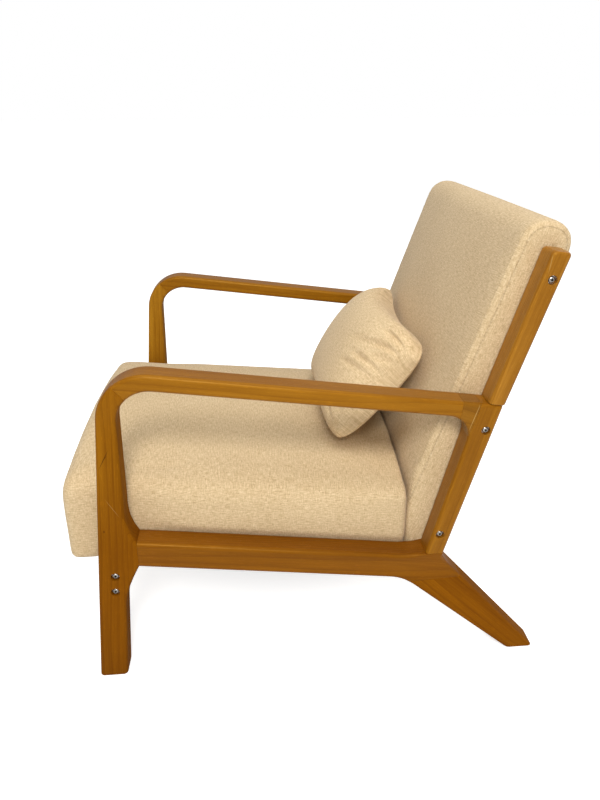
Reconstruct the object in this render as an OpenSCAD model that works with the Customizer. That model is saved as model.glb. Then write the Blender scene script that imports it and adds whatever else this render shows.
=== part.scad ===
// Upholstered lounge armchair on two timber side frames with bent front corners.
// Millimetres. The chair faces -Y, +Z is up, and its left side (the sitter's) is +X.
// X = 0 and Y = 0 are the middle of its width and depth, Z = 0 is the floor.
// Side-view points are [y, z], with y counted rearwards from the toe of the front leg;
// every module is moved forward by mid_y at the end.

/* [Overall] */
// Width over the outer faces of the side frames
overall_w = 649; // [600:1:700]
// Thickness of the side frame timber across the chair
timber_t = 44; // [38:1:50]
// Radius routed along the long edges of the timber
edge_r = 6.5; // [3:0.5:9]

/* [Front leg] */
// Lean of the front edge from the vertical, in degrees
leg_lean = 5.3; // [4:0.1:7]
// Depth of the leg at the floor
leg_foot_d = 48; // [42:0.5:54]
// Depth of the leg where the lower flare begins
leg_knee_d = 45.5; // [40:0.5:50]
// Depth of the leg at its joint with the side rail
leg_joint_d = 64; // [58:0.5:72]
// Depth of the leg where the upper flare ends
leg_neck_d = 42.5; // [38:0.5:46]
// Depth of the leg where the bend begins
leg_top_d = 31; // [27:0.5:35]
// Height of the flare below the side rail
flare_low_h = 80; // [60:1:100]
// Height of the flare above the side rail
flare_high_h = 68; // [50:1:90]

/* [Arm] */
// Height at which the line of the arm's top would pass over the toe of the front leg
arm_h = 591; // [560:1:620]
// Fall of the arm towards the back, in degrees
arm_fall = 7.7; // [5:0.1:9]
// Height of the arm's section
arm_d = 27.5; // [22:0.5:30]
// Outer radius of the front bend
bend_outer_r = 78; // [66:1:90]
// Inner radius of the front bend
bend_inner_r = 52; // [42:1:60]
// Length of the corner block between the arm's end joint and the rear end
block_len = 66; // [58:0.5:72]
// Radius under the arm where it meets the rear post
gusset_r = 37; // [30:1:44]

/* [Side rail] */
// Height at which the line of the rail's top would pass over the toe
rail_h = 288; // [270:1:300]
// Depth of the rail
rail_d = 48; // [40:0.5:52]
// Fall of the rail towards the back, in degrees
rail_fall = 7.1; // [5:0.1:8.5]
// How far ahead of the post's line at the floor the rail's top levels out
rail_level_ahead = 9.2; // [4:0.1:16]

/* [Rear post] */
// Distance from the toe to where the line of the lower post's rear edge meets the floor
post_y = 543.2; // [525:0.1:565]
// Lean of the lower post's rear edge, in degrees
low_post_lean = 16; // [14:0.1:18]
// Depth of the lower post at its foot
post_foot_d = 31.5; // [26:0.5:34]
// Lean of the lower post's front edge, in degrees
post_front_lean = 14.4; // [13:0.1:15]
// Depth of the upper post at its foot
high_post_foot_d = 27; // [20:0.5:30]
// Depth of the upper post at its top
high_post_top_d = 31; // [22:0.5:34]
// Height of the back's top above the upper post's top rear corner
high_post_drop = 27.3; // [20:0.1:60]

/* [Rear leg] */
// Distance of the rear leg's heel behind the post's line at the floor
heel_reach = 246.8; // [230:0.1:256]
// Depth of the rear leg at the floor
heel_d = 50.5; // [40:0.5:52]
// Rise of the rear leg's back edge, in degrees from the floor
heel_back_rise = 48.7; // [46:0.1:51]
// Rise of the rear leg's front edge, in degrees from the floor
heel_front_rise = 40.7; // [39:0.1:43]
// Radius under the side rail where the rear leg begins
rump_r = 80; // [50:1:100]
// Drop from the lower post's foot to the hollow corner above the rear leg
kink_drop = 5.5; // [3.5:0.1:13]

/* [Seat] */
// How far the seat's front stands ahead of the toe
seat_overhang = 39; // [34:0.5:48]
// Distance of the seat's rear face behind the post's line at the floor
seat_behind = 5.3; // [0:0.1:8]
// Height of the seat's top edge above the line of the rail's top
seat_rise = 85; // [65:1:105]
// Fall of the seat's top towards the back, in degrees
seat_fall = 5.3; // [4:0.1:7]
// Rise of the seat's middle above its edges
seat_crown = 24; // [10:1:35]
// Drop from the rail's underside to the lower edge of the seat's nose
nose_drop = 22; // [14:1:37]
// Height of the nose's foremost line above its lower edge
nose_mid_rise = 80; // [65:1:95]
// How far the nose swells forward of its lower edge
nose_swell = 2; // [1:0.5:10]
// Depth of the part of the nose that hangs below the seat's underside
nose_depth = 56; // [50:1:60]
// Height of the seat's underside above the underside of the side rails
seat_lift = 4; // [2:0.5:8]
// How far the seat's sides swell over the side rails
seat_swell = 8; // [0:0.5:12]
// Radius of the seat's upper edges at the front and sides
seat_edge_r = 32; // [20:1:45]
// Radius of the seat's upper rear edge
seat_rear_r = 8; // [5:1:20]

/* [Back] */
// Lean of the back from the vertical, in degrees
back_lean = 17.8; // [17:0.1:19]
// Distance of the line of the back's rear face behind the post's line, at the floor
back_behind = 7.3; // [2:0.1:12]
// Length of the back's rear face from the floor to its top
back_len = 808; // [780:1:830]
// Thickness of the back at its top
back_top_t = 84; // [76:0.5:92]
// Extra thickness for each metre down from the top
back_taper = 32; // [10:1:40]
// Rise of the back's middle in front of its edges
back_crown = 16; // [6:1:26]
// How far the back's sides are rounded towards the front, over the depth of the wrap
back_edge_r = 19; // [10:1:24]
// Radius of the back's top front edge
back_front_r = 42; // [20:1:44]
// Radius of the back's top rear edge
back_rear_r = 36; // [20:1:40]
// Thickness of the rear panel
back_panel_t = 4; // [3:0.5:6]

/* [Pillow] */
// Length of the pillow between its ears
pillow_len = 376; // [340:1:440]
// Height of the pillow between its ears
pillow_h = 262; // [230:1:280]
// Height of the front swell of the pillow
pillow_front = 66; // [50:1:85]
// Height of the rear swell of the pillow
pillow_rear = 62; // [45:1:70]
// Tilt of the pillow from the horizontal, in degrees
pillow_tilt = 49; // [44:0.1:52]
// Distance of the pillow's middle ahead of the back's line at the floor
pillow_ahead = 31.5; // [25:0.1:42]
// Height of the pillow's middle above the seat's edges
pillow_rise = 136.1; // [128:0.1:145]

/* [Inner frame] */
// Thickness of the boards of the seat and back frames
board_t = 22; // [18:1:26]
// Height of the seat frame's boards
seat_board_h = 50; // [40:1:60]
// Depth of the back frame's boards
back_board_w = 48; // [44:1:54]
// Foam and cover between a frame and the outside of its cushion
wrap_t = 10; // [6:0.5:14]
// Thickness of the cross rail between the front legs
cross_rail_t = 26; // [22:0.5:30]
// Drop from the side rails' underside to the lower edge of the cross rail
cross_rail_drop = 75; // [68:1:85]
// Width of the webbing straps
strap_w = 60; // [40:1:70]
// Thickness of the webbing straps
strap_t = 2; // [1.5:0.1:3]
// Number of straps from front to back in the seat
seat_straps = 5; // [3:1:6]
// Number of straps from side to side in the seat
seat_cross_straps = 4; // [3:1:5]
// Number of straps across the back
back_straps = 5; // [3:1:6]
// Thickness of the dust cloth under the seat
cloth_t = 1; // [0.8:0.1:2]

/* [Fittings] */
// Diameter of the bolt shanks
bolt_d = 6; // [5:0.5:8]
// Diameter of the bolt heads
head_d = 11; // [9:0.5:13]
// Height of the bolt heads
head_h = 3.6; // [3:0.1:5]
// Across-flats size of the hexagon socket
socket_af = 4; // [3:0.5:5]
// Diameter of the counterbore round a head
counterbore_d = 14.5; // [14:0.5:18]
// Depth of the counterbore
counterbore_h = 7; // [5:0.5:10]
// Height of the lower leg bolt above the cross rail's lower edge
leg_bolt_rise = 16; // [13:0.5:22]
// Distance between the two bolts through a front leg
leg_bolt_gap = 31; // [24:0.5:33]
// Distance of the leg bolts behind the leg's front edge
leg_bolt_setback = 28; // [25:0.5:30]
// Height of the lowest post bolt above the lower post's foot
low_bolt_rise = 38.7; // [34:0.1:52]
// Drop of the middle post bolt below the rear end of the arm
mid_bolt_drop = 43; // [33:0.5:52]
// Distance of the highest post bolt below the back's top, along its rear face
top_bolt_drop = 82; // [73:1:108]
// Depth of the post bolts in front of the back's rear face
post_bolt_depth = 35; // [33:0.5:37]
// Length of the bolts from the leg into the cross rail
leg_bolt_len = 78; // [65:1:90]
// Length of the bolts from the posts into the back frame
post_bolt_len = 60; // [55:1:68]
// Diameter of the washers
washer_d = 13; // [12:0.5:14]
// Thickness of the washers
washer_t = 1.2; // [1:0.1:2]
// Diameter of the dowels
dowel_d = 10; // [8:1:12]
// Length of the dowels
dowel_len = 44; // [30:1:50]
// Diameter of the barrel nuts
barrel_d = 10; // [8:1:12]
// Diameter of the threaded inserts
insert_d = 10; // [9:0.5:12]
// Length of the threaded inserts
insert_len = 14; // [10:1:18]
// Distance of the barrel nuts from the ends of the cross rail
barrel_inset = 32; // [24:1:34]
// Thickness of the mending plates under the seat and back
plate_t = 2.5; // [2:0.5:4]
// Width of the mending plates
plate_w = 30; // [24:1:40]
// Length of the mending plates
plate_len = 66; // [60:1:72]
// Diameter of the plate screws
screw_d = 4; // [3:0.5:5]
// Length of the plate screws
screw_len = 18; // [12:1:20]

/* [Hidden] */
// Clearance between a soft piece and what it touches
soft_gap = 0.3;
// Radial clearance of a dowel, nut or insert in its hole
fit_gap = 0.1;
// Radial clearance of a bolt in its hole
bolt_gap = 0.5;
// Radius left on timber edges that meet another piece flush
flush_r = 0.5;
// Points on each rounded edge of the timber, less one
edge_steps = 3;
// Segments in half of the front bend
bend_steps = 4;

side_x = overall_w / 2 - timber_t / 2;
inner_x = overall_w / 2 - timber_t;

// Side-view geometry: directions are angles from rearwards towards up
function dir(a) = [cos(a), sin(a)];
function lerp(a, b, t) = a + (b - a) * t;
function cross2(a, b) = a[0] * b[1] - a[1] * b[0];
// Crossing of the line through p along angle a and the line through q along angle b
function meet(p, a, q, b) = p + dir(a) * cross2(q - p, dir(b)) / cross2(dir(a), dir(b));
// Point at share t of the arc of radius r that rounds a clockwise corner from angle a0 to a1
function bend(corner, a0, a1, r, t) =
    let (start = corner - r * tan((a0 - a1) / 2) * dir(a0),
         centre = start + r * [sin(a0), -cos(a0)],
         f = lerp(a0, a1, t))
    centre + r * [-sin(f), cos(f)];

// Lines of the side frame
function leg_front(z) = [z * tan(leg_lean), z];
function arm_top(y) = [y, arm_h - y * tan(arm_fall)];
function arm_under(y) = arm_top(y) - [0, arm_d / cos(arm_fall)];
function rail_top(y) = [y, rail_h - y * tan(rail_fall)];
function rail_under(y) = rail_top(y) - [0, rail_d];
function post_rear(z) = [post_y + z * tan(low_post_lean), z];
arm_end = meet([0, arm_h], -arm_fall, [post_y, 0], 90 - low_post_lean);
arm_reach = arm_end[0];

// Places that follow from the sizes, each from the piece that it seats on or lines up with
rail_level_y = post_y - rail_level_ahead;
post_foot_z = rail_top(rail_level_y)[1];
kink_h = post_foot_z - kink_drop;
heel_y = post_y + heel_reach;
cross_rail_h = rail_h - rail_d - cross_rail_drop;
leg_bolt_low = cross_rail_h + leg_bolt_rise;
nose_h = rail_h - rail_d - nose_drop;
nose_mid_h = nose_h + nose_mid_rise;
seat_edge_h = rail_h + seat_rise;
seat_rear_y = post_y + seat_behind;
back_foot_y = post_y + back_behind;
high_post_h = back_len * cos(back_lean) - high_post_drop;
pillow_y = back_foot_y - pillow_ahead;
pillow_z = seat_edge_h - pillow_y * tan(seat_fall) + pillow_rise;

// Front leg: depth behind its front edge at each height
rail_joint_y = leg_joint_d + (rail_h - rail_d / 2) * tan(leg_lean);
joint_low = rail_under(rail_joint_y)[1];
joint_high = rail_top(rail_joint_y)[1];
knee_z = joint_low - flare_low_h;
neck_z = joint_high + flare_high_h;
function leg_rear(z) =
    let (front = leg_front(z)[0])
    z <= knee_z ? [front + lerp(leg_foot_d, leg_knee_d, z / knee_z), z]
    : z <= joint_low ? [lerp(front + leg_knee_d, rail_joint_y, pow((z - knee_z) / flare_low_h, 2)), z]
    : z <= joint_high ? [rail_joint_y, z]
    : [lerp(front + leg_neck_d, rail_joint_y, pow((neck_z - z) / flare_high_h, 2)), z];

// Front bend: outer and inner corners before rounding
outer_corner = meet([0, 0], 90 - leg_lean, [0, arm_h], -arm_fall);
neck_point = leg_rear(neck_z);
leg_top_z = outer_corner[1] - bend_outer_r * tan((90 - leg_lean + arm_fall) / 2);
leg_top_rear = leg_front(leg_top_z) + [leg_top_d, 0];
inner_angle = atan2(leg_top_rear[1] - neck_point[1], leg_top_rear[0] - neck_point[0]);
inner_corner = meet(neck_point, inner_angle, arm_under(0), -arm_fall);
function outer_bend(t) = bend(outer_corner, 90 - leg_lean, -arm_fall, bend_outer_r, t);
function inner_bend(t) = bend(inner_corner, inner_angle, -arm_fall, bend_inner_r, t);

// Rear post and the block in the corner under the arm
rump_corner = meet(rail_under(0), -rail_fall, [heel_y - heel_d, 0], 180 - heel_front_rise);
post_foot = [post_rear(post_foot_z), post_rear(post_foot_z) - [post_foot_d, 0]];
front_post_angle = 90 - post_front_lean;
gusset_corner = meet(arm_under(0), -arm_fall, post_foot[1], front_post_angle);
function gusset(t) = bend(gusset_corner, -arm_fall, front_post_angle - 180, gusset_r, t);
// Shares of the arc at which the block's two glued joints end
block_start = 0.28;
block_end = 0.86;
arm_joint_y = arm_reach - block_len;
block_top_y = arm_reach - 0.55 * block_len;

// Rear leg
function heel_back(z) = [heel_y - z / tan(heel_back_rise), z];
function heel_front(z) = [heel_y - heel_d - z / tan(heel_front_rise), z];
kink = post_rear(kink_h);
function rump(t) = bend(rump_corner, -rail_fall, -heel_front_rise, rump_r, t);
rump_joint = 0.7;
// Rise of the leg's glued joint from its front edge to its back edge
joint_rise = 5;
// Height over which the hollow corner runs out into the leg's back edge
kink_ease = 16;
leg_joint_z = rump(rump_joint)[1];

// Upper post
high_foot_rear = arm_top(arm_reach + 2);
high_foot = [high_foot_rear, arm_top(high_foot_rear[0] - high_post_foot_d)];
high_top_rear = high_foot_rear + (high_post_h - high_foot_rear[1]) * [tan(back_lean), 1];
high_top = [high_top_rear, high_top_rear + high_post_top_d * [-cos(back_lean / 2), sin(back_lean / 2)]];

// Back: point at height u along the rear face and depth d in front of it
function back_at(u, d) =
    [back_foot_y + u * sin(back_lean) - d * cos(back_lean), u * cos(back_lean) + d * sin(back_lean)];
function back_thick(u) = back_top_t + (back_len - u) * back_taper / 1000;

// Bolts in side view; bolt_u is the height along the back's rear face of a bolt at height z
function bolt_u(z) = (z - post_bolt_depth * sin(back_lean)) / cos(back_lean);
post_bolts_at = [for (u = [bolt_u(post_foot_z + low_bolt_rise), bolt_u(arm_end[1] - mid_bolt_drop),
    back_len - top_bolt_drop]) back_at(u, post_bolt_depth)];
leg_bolts_at = [for (z = [0, leg_bolt_gap]) leg_front(leg_bolt_low + z) + [leg_bolt_setback, 0]];

wood = "#9b6220";
plain_wood = "#d9c09a";
cloth = "#d7bd94";
webbing = "#3a3632";
steel = "#c9c9cc";

// Timber: each rung is [edge point a, edge point b, radius at a, radius at b, half thickness],
// and its section is a rectangle from a to b across the chair with rounded corners
function rung_ring(g) =
    let (a = g[0], b = g[1], depth = norm(b - a), along = (b - a) / depth, half = g[4],
         top = min(depth / 2, half) - 0.3, ra = min(g[2], top), rb = min(g[3], top))
    [for (c = [0:3]) for (k = [0:edge_steps])
        let (turn = 180 - 90 * c - 90 * k / edge_steps,
             near_a = c == 0 || c == 3,
             r = near_a ? ra : rb,
             s = (near_a ? ra : depth - rb) + r * cos(turn),
             x = (c < 2 ? half - r : r - half) + r * sin(turn),
             p = a + along * s)
        [x, p[0], p[1]]];

// Middle of a ring of points
function middle(ring) = [for (p = ring) 1] * ring / len(ring);

// Closed surface over a stack of rings, each anticlockwise when seen against the stacking direction
module skin(rings) {
    n = len(rings[0]);
    last = len(rings) - 1;
    points = concat([for (r = rings) each r], [middle(rings[0]), middle(rings[last])]);
    low = n * (last + 1);
    sides = [for (i = [0:last - 1]) for (j = [0:n - 1])
        let (p = i * n + j, q = i * n + (j + 1) % n) each [[p, p + n, q], [q, p + n, q + n]]];
    ends = [for (j = [0:n - 1])
        let (k = (j + 1) % n) each [[low, j, k], [low + 1, last * n + k, last * n + j]]];
    polyhedron(points, concat(sides, ends));
}

module timber(rungs) skin([for (g = rungs) rung_ring(g)]);

// Rungs from floor level up with the foot's edges eased by [height, inset]
foot_ease = [[0, 3.5], [1.2, 1.2], [4, 0]];
function foot_rungs(rear, front) =
    [for (e = foot_ease)
        [front(e[0]) + [e[1], 0], rear(e[0]) - [e[1], 0], edge_r, edge_r, timber_t / 2 - e[1]]];

function plain_rung(a, b, ra = edge_r, rb = edge_r) = [a, b, ra, rb, timber_t / 2];

function leg_rungs() = concat(
    foot_rungs(function (z) leg_rear(z), function (z) leg_front(z)),
    [for (z = [knee_z / 2, knee_z]) plain_rung(leg_front(z), leg_rear(z))],
    [for (t = [0.3, 0.55, 0.78, 1])
        let (z = knee_z + t * flare_low_h) plain_rung(leg_front(z), leg_rear(z))],
    [for (z = [joint_low + edge_r, joint_high - edge_r])
        plain_rung(leg_front(z), leg_rear(z), edge_r, flush_r)],
    [for (t = [0, 0.22, 0.45, 0.7, 1])
        let (z = joint_high + t * flare_high_h) plain_rung(leg_front(z), leg_rear(z))],
    [for (t = [0.35, 0.7])
        plain_rung(lerp(leg_front(neck_z), outer_bend(0), t), lerp(neck_point, inner_bend(0), t))],
    [for (k = [0:bend_steps])
        let (t = k / bend_steps / 2) plain_rung(outer_bend(t), inner_bend(t))]);

function arm_rungs() = concat(
    [for (k = [0:bend_steps])
        let (t = 0.5 + k / bend_steps / 2) plain_rung(outer_bend(t), inner_bend(t))],
    [for (t = [0.25, 0.5, 0.75])
        plain_rung(lerp(outer_bend(1), arm_top(gusset(0)[0]), t), lerp(inner_bend(1), gusset(0), t))],
    [plain_rung(arm_top(gusset(0)[0]), gusset(0))],
    [plain_rung(lerp(arm_top(gusset(0)[0]), arm_top(arm_joint_y), 0.5), gusset(block_start / 2))],
    [plain_rung(arm_top(arm_joint_y), gusset(block_start))]);

function block_rungs() = [for (t = [0, 0.25, 0.5, 0.75, 1])
    plain_rung(arm_top(lerp(arm_joint_y, block_top_y, t)), gusset(lerp(block_start, block_end, t)))];

// Rungs just under a flat top whose long edges are rounded with edge_r
function eased_top(front, rear, down, front_r, rear_r) = [for (turn = [0, 30, 60, 90])
    [front + down * (1 - sin(turn)) * edge_r, rear + down * (1 - sin(turn)) * edge_r,
        front_r, rear_r, timber_t / 2 - edge_r * (1 - cos(turn))]];

function unit(v) = v / norm(v);

function lower_post_rungs() =
    let (front_top = gusset(1), shoulder = gusset(block_end), top_front = arm_top(block_top_y))
    concat(
    [plain_rung(post_foot[1], post_foot[0])],
    [for (t = [0.3, 0.6, 1]) plain_rung(lerp(post_foot[1], front_top, t),
        lerp(post_foot[0], post_rear(front_top[1] - 6), t))],
    [plain_rung(shoulder, post_rear(shoulder[1] - 4))],
    [plain_rung(lerp(shoulder, top_front, 0.12), post_rear(shoulder[1] + 4), flush_r)],
    eased_top(top_front, arm_end, unit(shoulder - top_front), flush_r, edge_r));

// The upper post's end is eased by [distance below the top, inset]
top_ease = [[7, 0], [1.8, 1.6], [0, 5]];
function upper_post_rungs() = concat(
    [plain_rung(high_foot[1], high_foot[0])],
    [for (t = [0.33, 0.66])
        plain_rung(lerp(high_foot[1], high_top[1], t), lerp(high_foot[0], high_top[0], t))],
    [for (e = top_ease)
        let (down = -e[0] * [sin(back_lean), cos(back_lean)],
             across = e[1] * unit(high_top[1] - high_top[0]))
        [high_top[1] + down - across, high_top[0] + down + across, edge_r, edge_r, timber_t / 2 - e[1]]]);

function rail_rungs() =
    let (heel_top = heel_back(leg_joint_z + joint_rise), level = rail_top(rail_level_y),
         under_kink = heel_back(kink_h - kink_ease))
    concat(
    [plain_rung([rail_joint_y, joint_high], [rail_joint_y, joint_low])],
    [for (t = [0.33, 0.67, 1]) plain_rung(lerp([rail_joint_y, joint_high], rail_top(rump(0)[0]), t),
        lerp([rail_joint_y, joint_low], rump(0), t))],
    [plain_rung(level, rump(0.12)), plain_rung(lerp(level, post_foot[1], 0.6), rump(0.24))],
    [plain_rung(post_foot[1], rump(0.36), flush_r)],
    [plain_rung(post_foot[0] - [edge_r, 0], rump(0.44), flush_r)],
    [plain_rung(post_foot[0], rump(0.5)), plain_rung(kink, rump(0.55)), plain_rung(under_kink, rump(0.59))],
    [plain_rung(lerp(under_kink, heel_top, 0.5), rump(0.64)), plain_rung(heel_top, rump(rump_joint))]);

function rear_leg_rungs() = concat(
    foot_rungs(function (z) heel_back(z), function (z) heel_front(z)),
    [for (t = [0.36, 0.68, 0.95]) let (z = t * rump(1)[1]) plain_rung(heel_front(z), heel_back(z))],
    [for (t = [1, 0.9, 0.8, rump_joint])
        plain_rung(rump(t), heel_back(rump(t)[1] + joint_rise * (1 - t) / (1 - rump_joint)))]);

// Puts a side-view piece on the left (+1) or right (-1) side frame
module on_side(s) translate([s * side_x, -mid_y, 0]) children();
// Puts a piece that is drawn in side-view coordinates into the chair's frame
module placed() translate([0, -mid_y, 0]) children();

// A dowel, or its hole with grow, centred on side-view point p along angle a
module dowel(p, a, x = 0, grow = 0)
    translate([x, p[0], p[1]]) rotate([a, 0, 0]) rotate([-90, 0, 0])
        cylinder(d = dowel_d + 2 * grow, h = dowel_len + 2 * grow, center = true, $fn = 24);

// Each joint's dowels: [middle, angle, offset across the chair]
leg_dowel_list = [for (h = [-11, 11]) [[rail_joint_y, (joint_low + joint_high) / 2 + h], -rail_fall, 0]];
mitre_mid = (outer_bend(0.5) + inner_bend(0.5)) / 2;
mitre_dowel_list = [for (x = [-9, 9]) [mitre_mid, (90 - leg_lean - arm_fall) / 2, x]];
arm_joint_mid = (arm_top(arm_joint_y) + gusset(block_start)) / 2;
arm_dowel_list = [for (x = [-9, 9]) [arm_joint_mid, -arm_fall, x]];
post_dowel_list = [for (x = [-10, 10]) [(post_foot[0] + post_foot[1]) / 2, 90 - low_post_lean, x]];
high_dowel_list = [[(high_foot[0] + high_foot[1]) / 2, 90 - low_post_lean, 0]];
rear_mid = (rump(rump_joint) + heel_back(leg_joint_z + joint_rise)) / 2;
rear_dowel_list = [for (y = [-16, 16]) [rear_mid + [y, 0], -(heel_front_rise + heel_back_rise) / 2, 0]];

module dowels(list, grow = 0) for (d = list) dowel(d[0], d[1], d[2], grow);
module dowels_on_both(list) color(plain_wood) for (s = [-1, 1]) on_side(s) dowels(list);

// Seat outline in plan: the right half from the middle of its front to the middle of its rear,
// then the mirrored left; its side points start where the swell over the side rail does
swell_y = rail_joint_y + 4;
function seat_outline(half, front, rear, rear_r) =
    let (right = concat(
        [for (k = [0:2]) [(half - seat_corner_r) * k / 3, front]],
        [for (turn = [0, 30, 60, 90]) [half, front] + seat_corner_r * [sin(turn) - 1, 1 - cos(turn)]],
        [for (k = [0:6]) [half, lerp(swell_y, rear - rear_r, k / 7)]],
        [for (turn = [0, 30, 60, 90]) [half, rear] + rear_r * [cos(turn) - 1, sin(turn) - 1]],
        [for (k = [2:-1:0]) [(half - rear_r) * k / 3, rear]]))
    concat(right, [for (i = [len(right) - 2:-1:1]) [-right[i][0], right[i][1]]]);
function ramp(v, a, b) = let (t = max(0, min(1, (v - a) / (b - a)))) t * t * (3 - 2 * t);
// Crown from side to side, 1 in the middle and 0 at the edges
function side_crown(x) = 1 - min(1, pow(x / inner_x, 2));
soft_x = inner_x - soft_gap;
frame_x = soft_x - wrap_t;
// Shares of a crowned face at which its inner rings lie
crown_shares = [0.7, 0.4, 0.14];

// Seat: its underside, top and rounding at each depth
function seat_under(y) = rail_under(y)[1] + seat_lift;
function seat_top(x, y) = seat_edge_h - y * tan(seat_fall) + seat_crown * side_crown(x);
function seat_round(y) = lerp(seat_edge_r, seat_rear_r, ramp(y, seat_rear_y - 120, seat_rear_y - 20));
function seat_front(z) = nose_swell * pow((z - nose_mid_h) / (nose_mid_h - nose_h), 2) - seat_overhang;
nose_back_y = nose_depth - seat_overhang;
nose_r = 4;
seat_corner_r = 16;
// Height of the top of the crossed straps over the seat's underside
webbing_top = seat_board_h + 2 * strap_t + fit_gap;
frame_front_y = wrap_t + nose_swell - seat_overhang;
frame_rear_y = seat_rear_y - wrap_t - 2;
// Heights of the side wall's rings and the share of the swell that each has
function seat_levels(x, y) =
    let (foot = min(nose_h, seat_under(y) - 6), rail = rail_top(y)[1],
         shoulder = seat_top(x, y) - seat_round(y))
    [foot, foot + nose_r, rail + 1.5, rail + 4, rail + 11, (rail + 11 + shoulder) / 2, shoulder];
swell_shares = [0, 0, 0, 0.6, 1, 1, 1];
// Widened by the swell where the seat passes over the side rail, behind the leg
function swollen(p, share) = p[0] * (1 + seat_swell * share * ramp(p[1], swell_y, swell_y + 70) / soft_x);
// Pushed rearwards near the seat's rear edge, to lie along the leaning face of the back
function on_seat(x, y, z) =
    [x, y + max(0, back_line(z) - 2 * soft_gap - seat_rear_y) * ramp(y, seat_rear_y - 60, seat_rear_y), z];
seat_wall_rings = [for (k = [0:6])
    let (front_y = seat_front(seat_levels(0, 0)[k]) + (k == 0 ? nose_r : 0))
    [for (p = seat_outline(soft_x, front_y, seat_rear_y, seat_rear_r))
        on_seat(swollen(p, swell_shares[k]), p[1], seat_levels(p[0], p[1])[k])]];
seat_shoulder_y = seat_front(seat_levels(0, 0)[6]);
function seat_round_outline(turn) = let (a = 1 - cos(turn)) seat_outline(soft_x - seat_edge_r * a,
    seat_shoulder_y + seat_edge_r * a, seat_rear_y - seat_rear_r * a, seat_rear_r);
seat_round_rings = [for (turn = [30, 60, 90]) [for (p = seat_round_outline(turn))
    on_seat(swollen(p, 1), p[1], seat_top(p[0], p[1]) - seat_round(p[1]) * (1 - sin(turn)))]];
seat_mid = (seat_shoulder_y + seat_rear_y) / 2;
seat_crown_rings = [for (s = crown_shares) [for (p = seat_round_outline(90))
    let (x = swollen(p, 1) * s, y = lerp(seat_mid, p[1], s)) on_seat(x, y, seat_top(x, y))]];
seat_rings = concat(seat_wall_rings, seat_round_rings, seat_crown_rings);

// Back: where depth d meets the plane of the seat's underside, as a side-view point and as a height u
function under_back(d) = meet(back_at(0, d), 90 - back_lean, [0, seat_under(0)], -rail_fall);
function under_back_u(d) = (under_back(d)[1] - d * sin(back_lean)) / cos(back_lean);
back_low = seat_under(seat_rear_y) - 60;
back_frame_d = back_panel_t + back_board_w;
frame_top_u = back_len - back_rear_r - 2;
seam_in = 1.2;
// Height u at which the crown of the back begins, just above the seat
crown_low = seat_top(0, seat_rear_y) - 14;
function back_face(x, u) =
    let (share = max(0, min(1, (u - crown_low) / (back_len - crown_low))))
    back_thick(u) + back_crown * side_crown(x) * pow(sin(180 * share), 0.8);
// Depth of the back's front face without its crown, at height z
function back_line(z) =
    let (low = back_at(0, back_thick(0)), high = back_at(back_len, back_thick(back_len)))
    lerp(low[0], high[0], (z - low[1]) / (high[1] - low[1]));
// Point of the back cushion, which stops at the seat's rear face and eases away from it by edge
back_ease = 0.08;
function on_back(x, u, d, edge) =
    let (p = back_at(u, d)) [x, max(p[0], seat_rear_y + 2 * soft_gap + edge * back_ease), p[1]];
// Side-view profile at x, drawn in by edge: up the rear, round the top and down the front
function back_profile(x, edge) =
    let (rear_u = back_len - back_rear_r, front_u = back_len - back_front_r,
         front_d = back_face(x, front_u) - back_front_r,
         front_edge = edge * back_edge_r / wrap_t, top_edge = (edge + front_edge) / 2)
    concat(
    [for (k = [0:3]) on_back(x, lerp(back_low, rear_u, k / 4), edge, edge)],
    [for (turn = [0, back_lean, 45, 70, 90]) let (r = back_rear_r - lerp(edge, top_edge, turn / 90))
        on_back(x, rear_u + r * sin(turn), back_rear_r - r * cos(turn), edge)],
    [for (turn = [90:-18:0]) let (r = back_front_r - lerp(front_edge, top_edge, turn / 90))
        on_back(x, front_u + r * sin(turn), front_d + r * cos(turn), edge)],
    [for (k = [1:9])
        let (u = lerp(front_u, back_low, k / 9)) on_back(x, u, back_face(x, u) - front_edge, edge)]);
// Rounding towards a side panel as [inset across, edge], then the seam and the panel's own edge
side_edge = concat([for (turn = [0, 25, 50, 75]) wrap_t * [1 - sin(turn), 1 - cos(turn)]],
    [[seam_in, wrap_t], [0, wrap_t + seam_in]]);
back_rings = concat(
    [for (i = [5:-1:0]) back_profile(side_edge[i][0] - soft_x, side_edge[i][1])],
    [for (s = [-0.8, -0.5, -0.17, 0.17, 0.5, 0.8]) back_profile(s * soft_x, 0)],
    [for (e = side_edge) back_profile(soft_x - e[0], e[1])]);

// Pillow: square rings of points [a, b], each from -1 to 1, on its rear and then its front face
function square_ring(s) = [for (side = [0:3]) for (k = [-6:5]) let (c = s * k / 6)
    side == 0 ? [c, -s] : side == 1 ? [s, c] : side == 2 ? [-c, s] : [-s, -c]];
pillow_pinch = 0.07;
pillow_blunt = 0.07;
// Share by which the filling has settled towards the lower edge
pillow_sag = 0.3;
pillow_rim = 1.5;
function pillow_point(q, swell) =
    let (a = q[0], b = q[1],
        x = pillow_len / 2 * a * (1 - pillow_pinch * (1 - b * b) - pillow_blunt * pow(b, 8)),
        v = pillow_h / 2 * b * (1 - pillow_pinch * (1 - a * a) - pillow_blunt * pow(a, 8)),
        n = swell * (1 - pillow_sag * b) * pow(max(0, (1 - a * a) * (1 - b * b)), 0.45)
            + sign(swell) * pillow_rim,
        y = pillow_y + v * cos(pillow_tilt) - n * sin(pillow_tilt),
        z = pillow_z + v * sin(pillow_tilt) + n * cos(pillow_tilt),
        u = (y - back_foot_y) * sin(back_lean) + z * cos(back_lean),
        d = z * sin(back_lean) - (y - back_foot_y) * cos(back_lean),
        p = back_at(u, max(d, back_face(x, u) + 2 * soft_gap)))
    [x, p[0], max(p[1], seat_top(x, p[0]) + 2 * soft_gap)];
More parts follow.
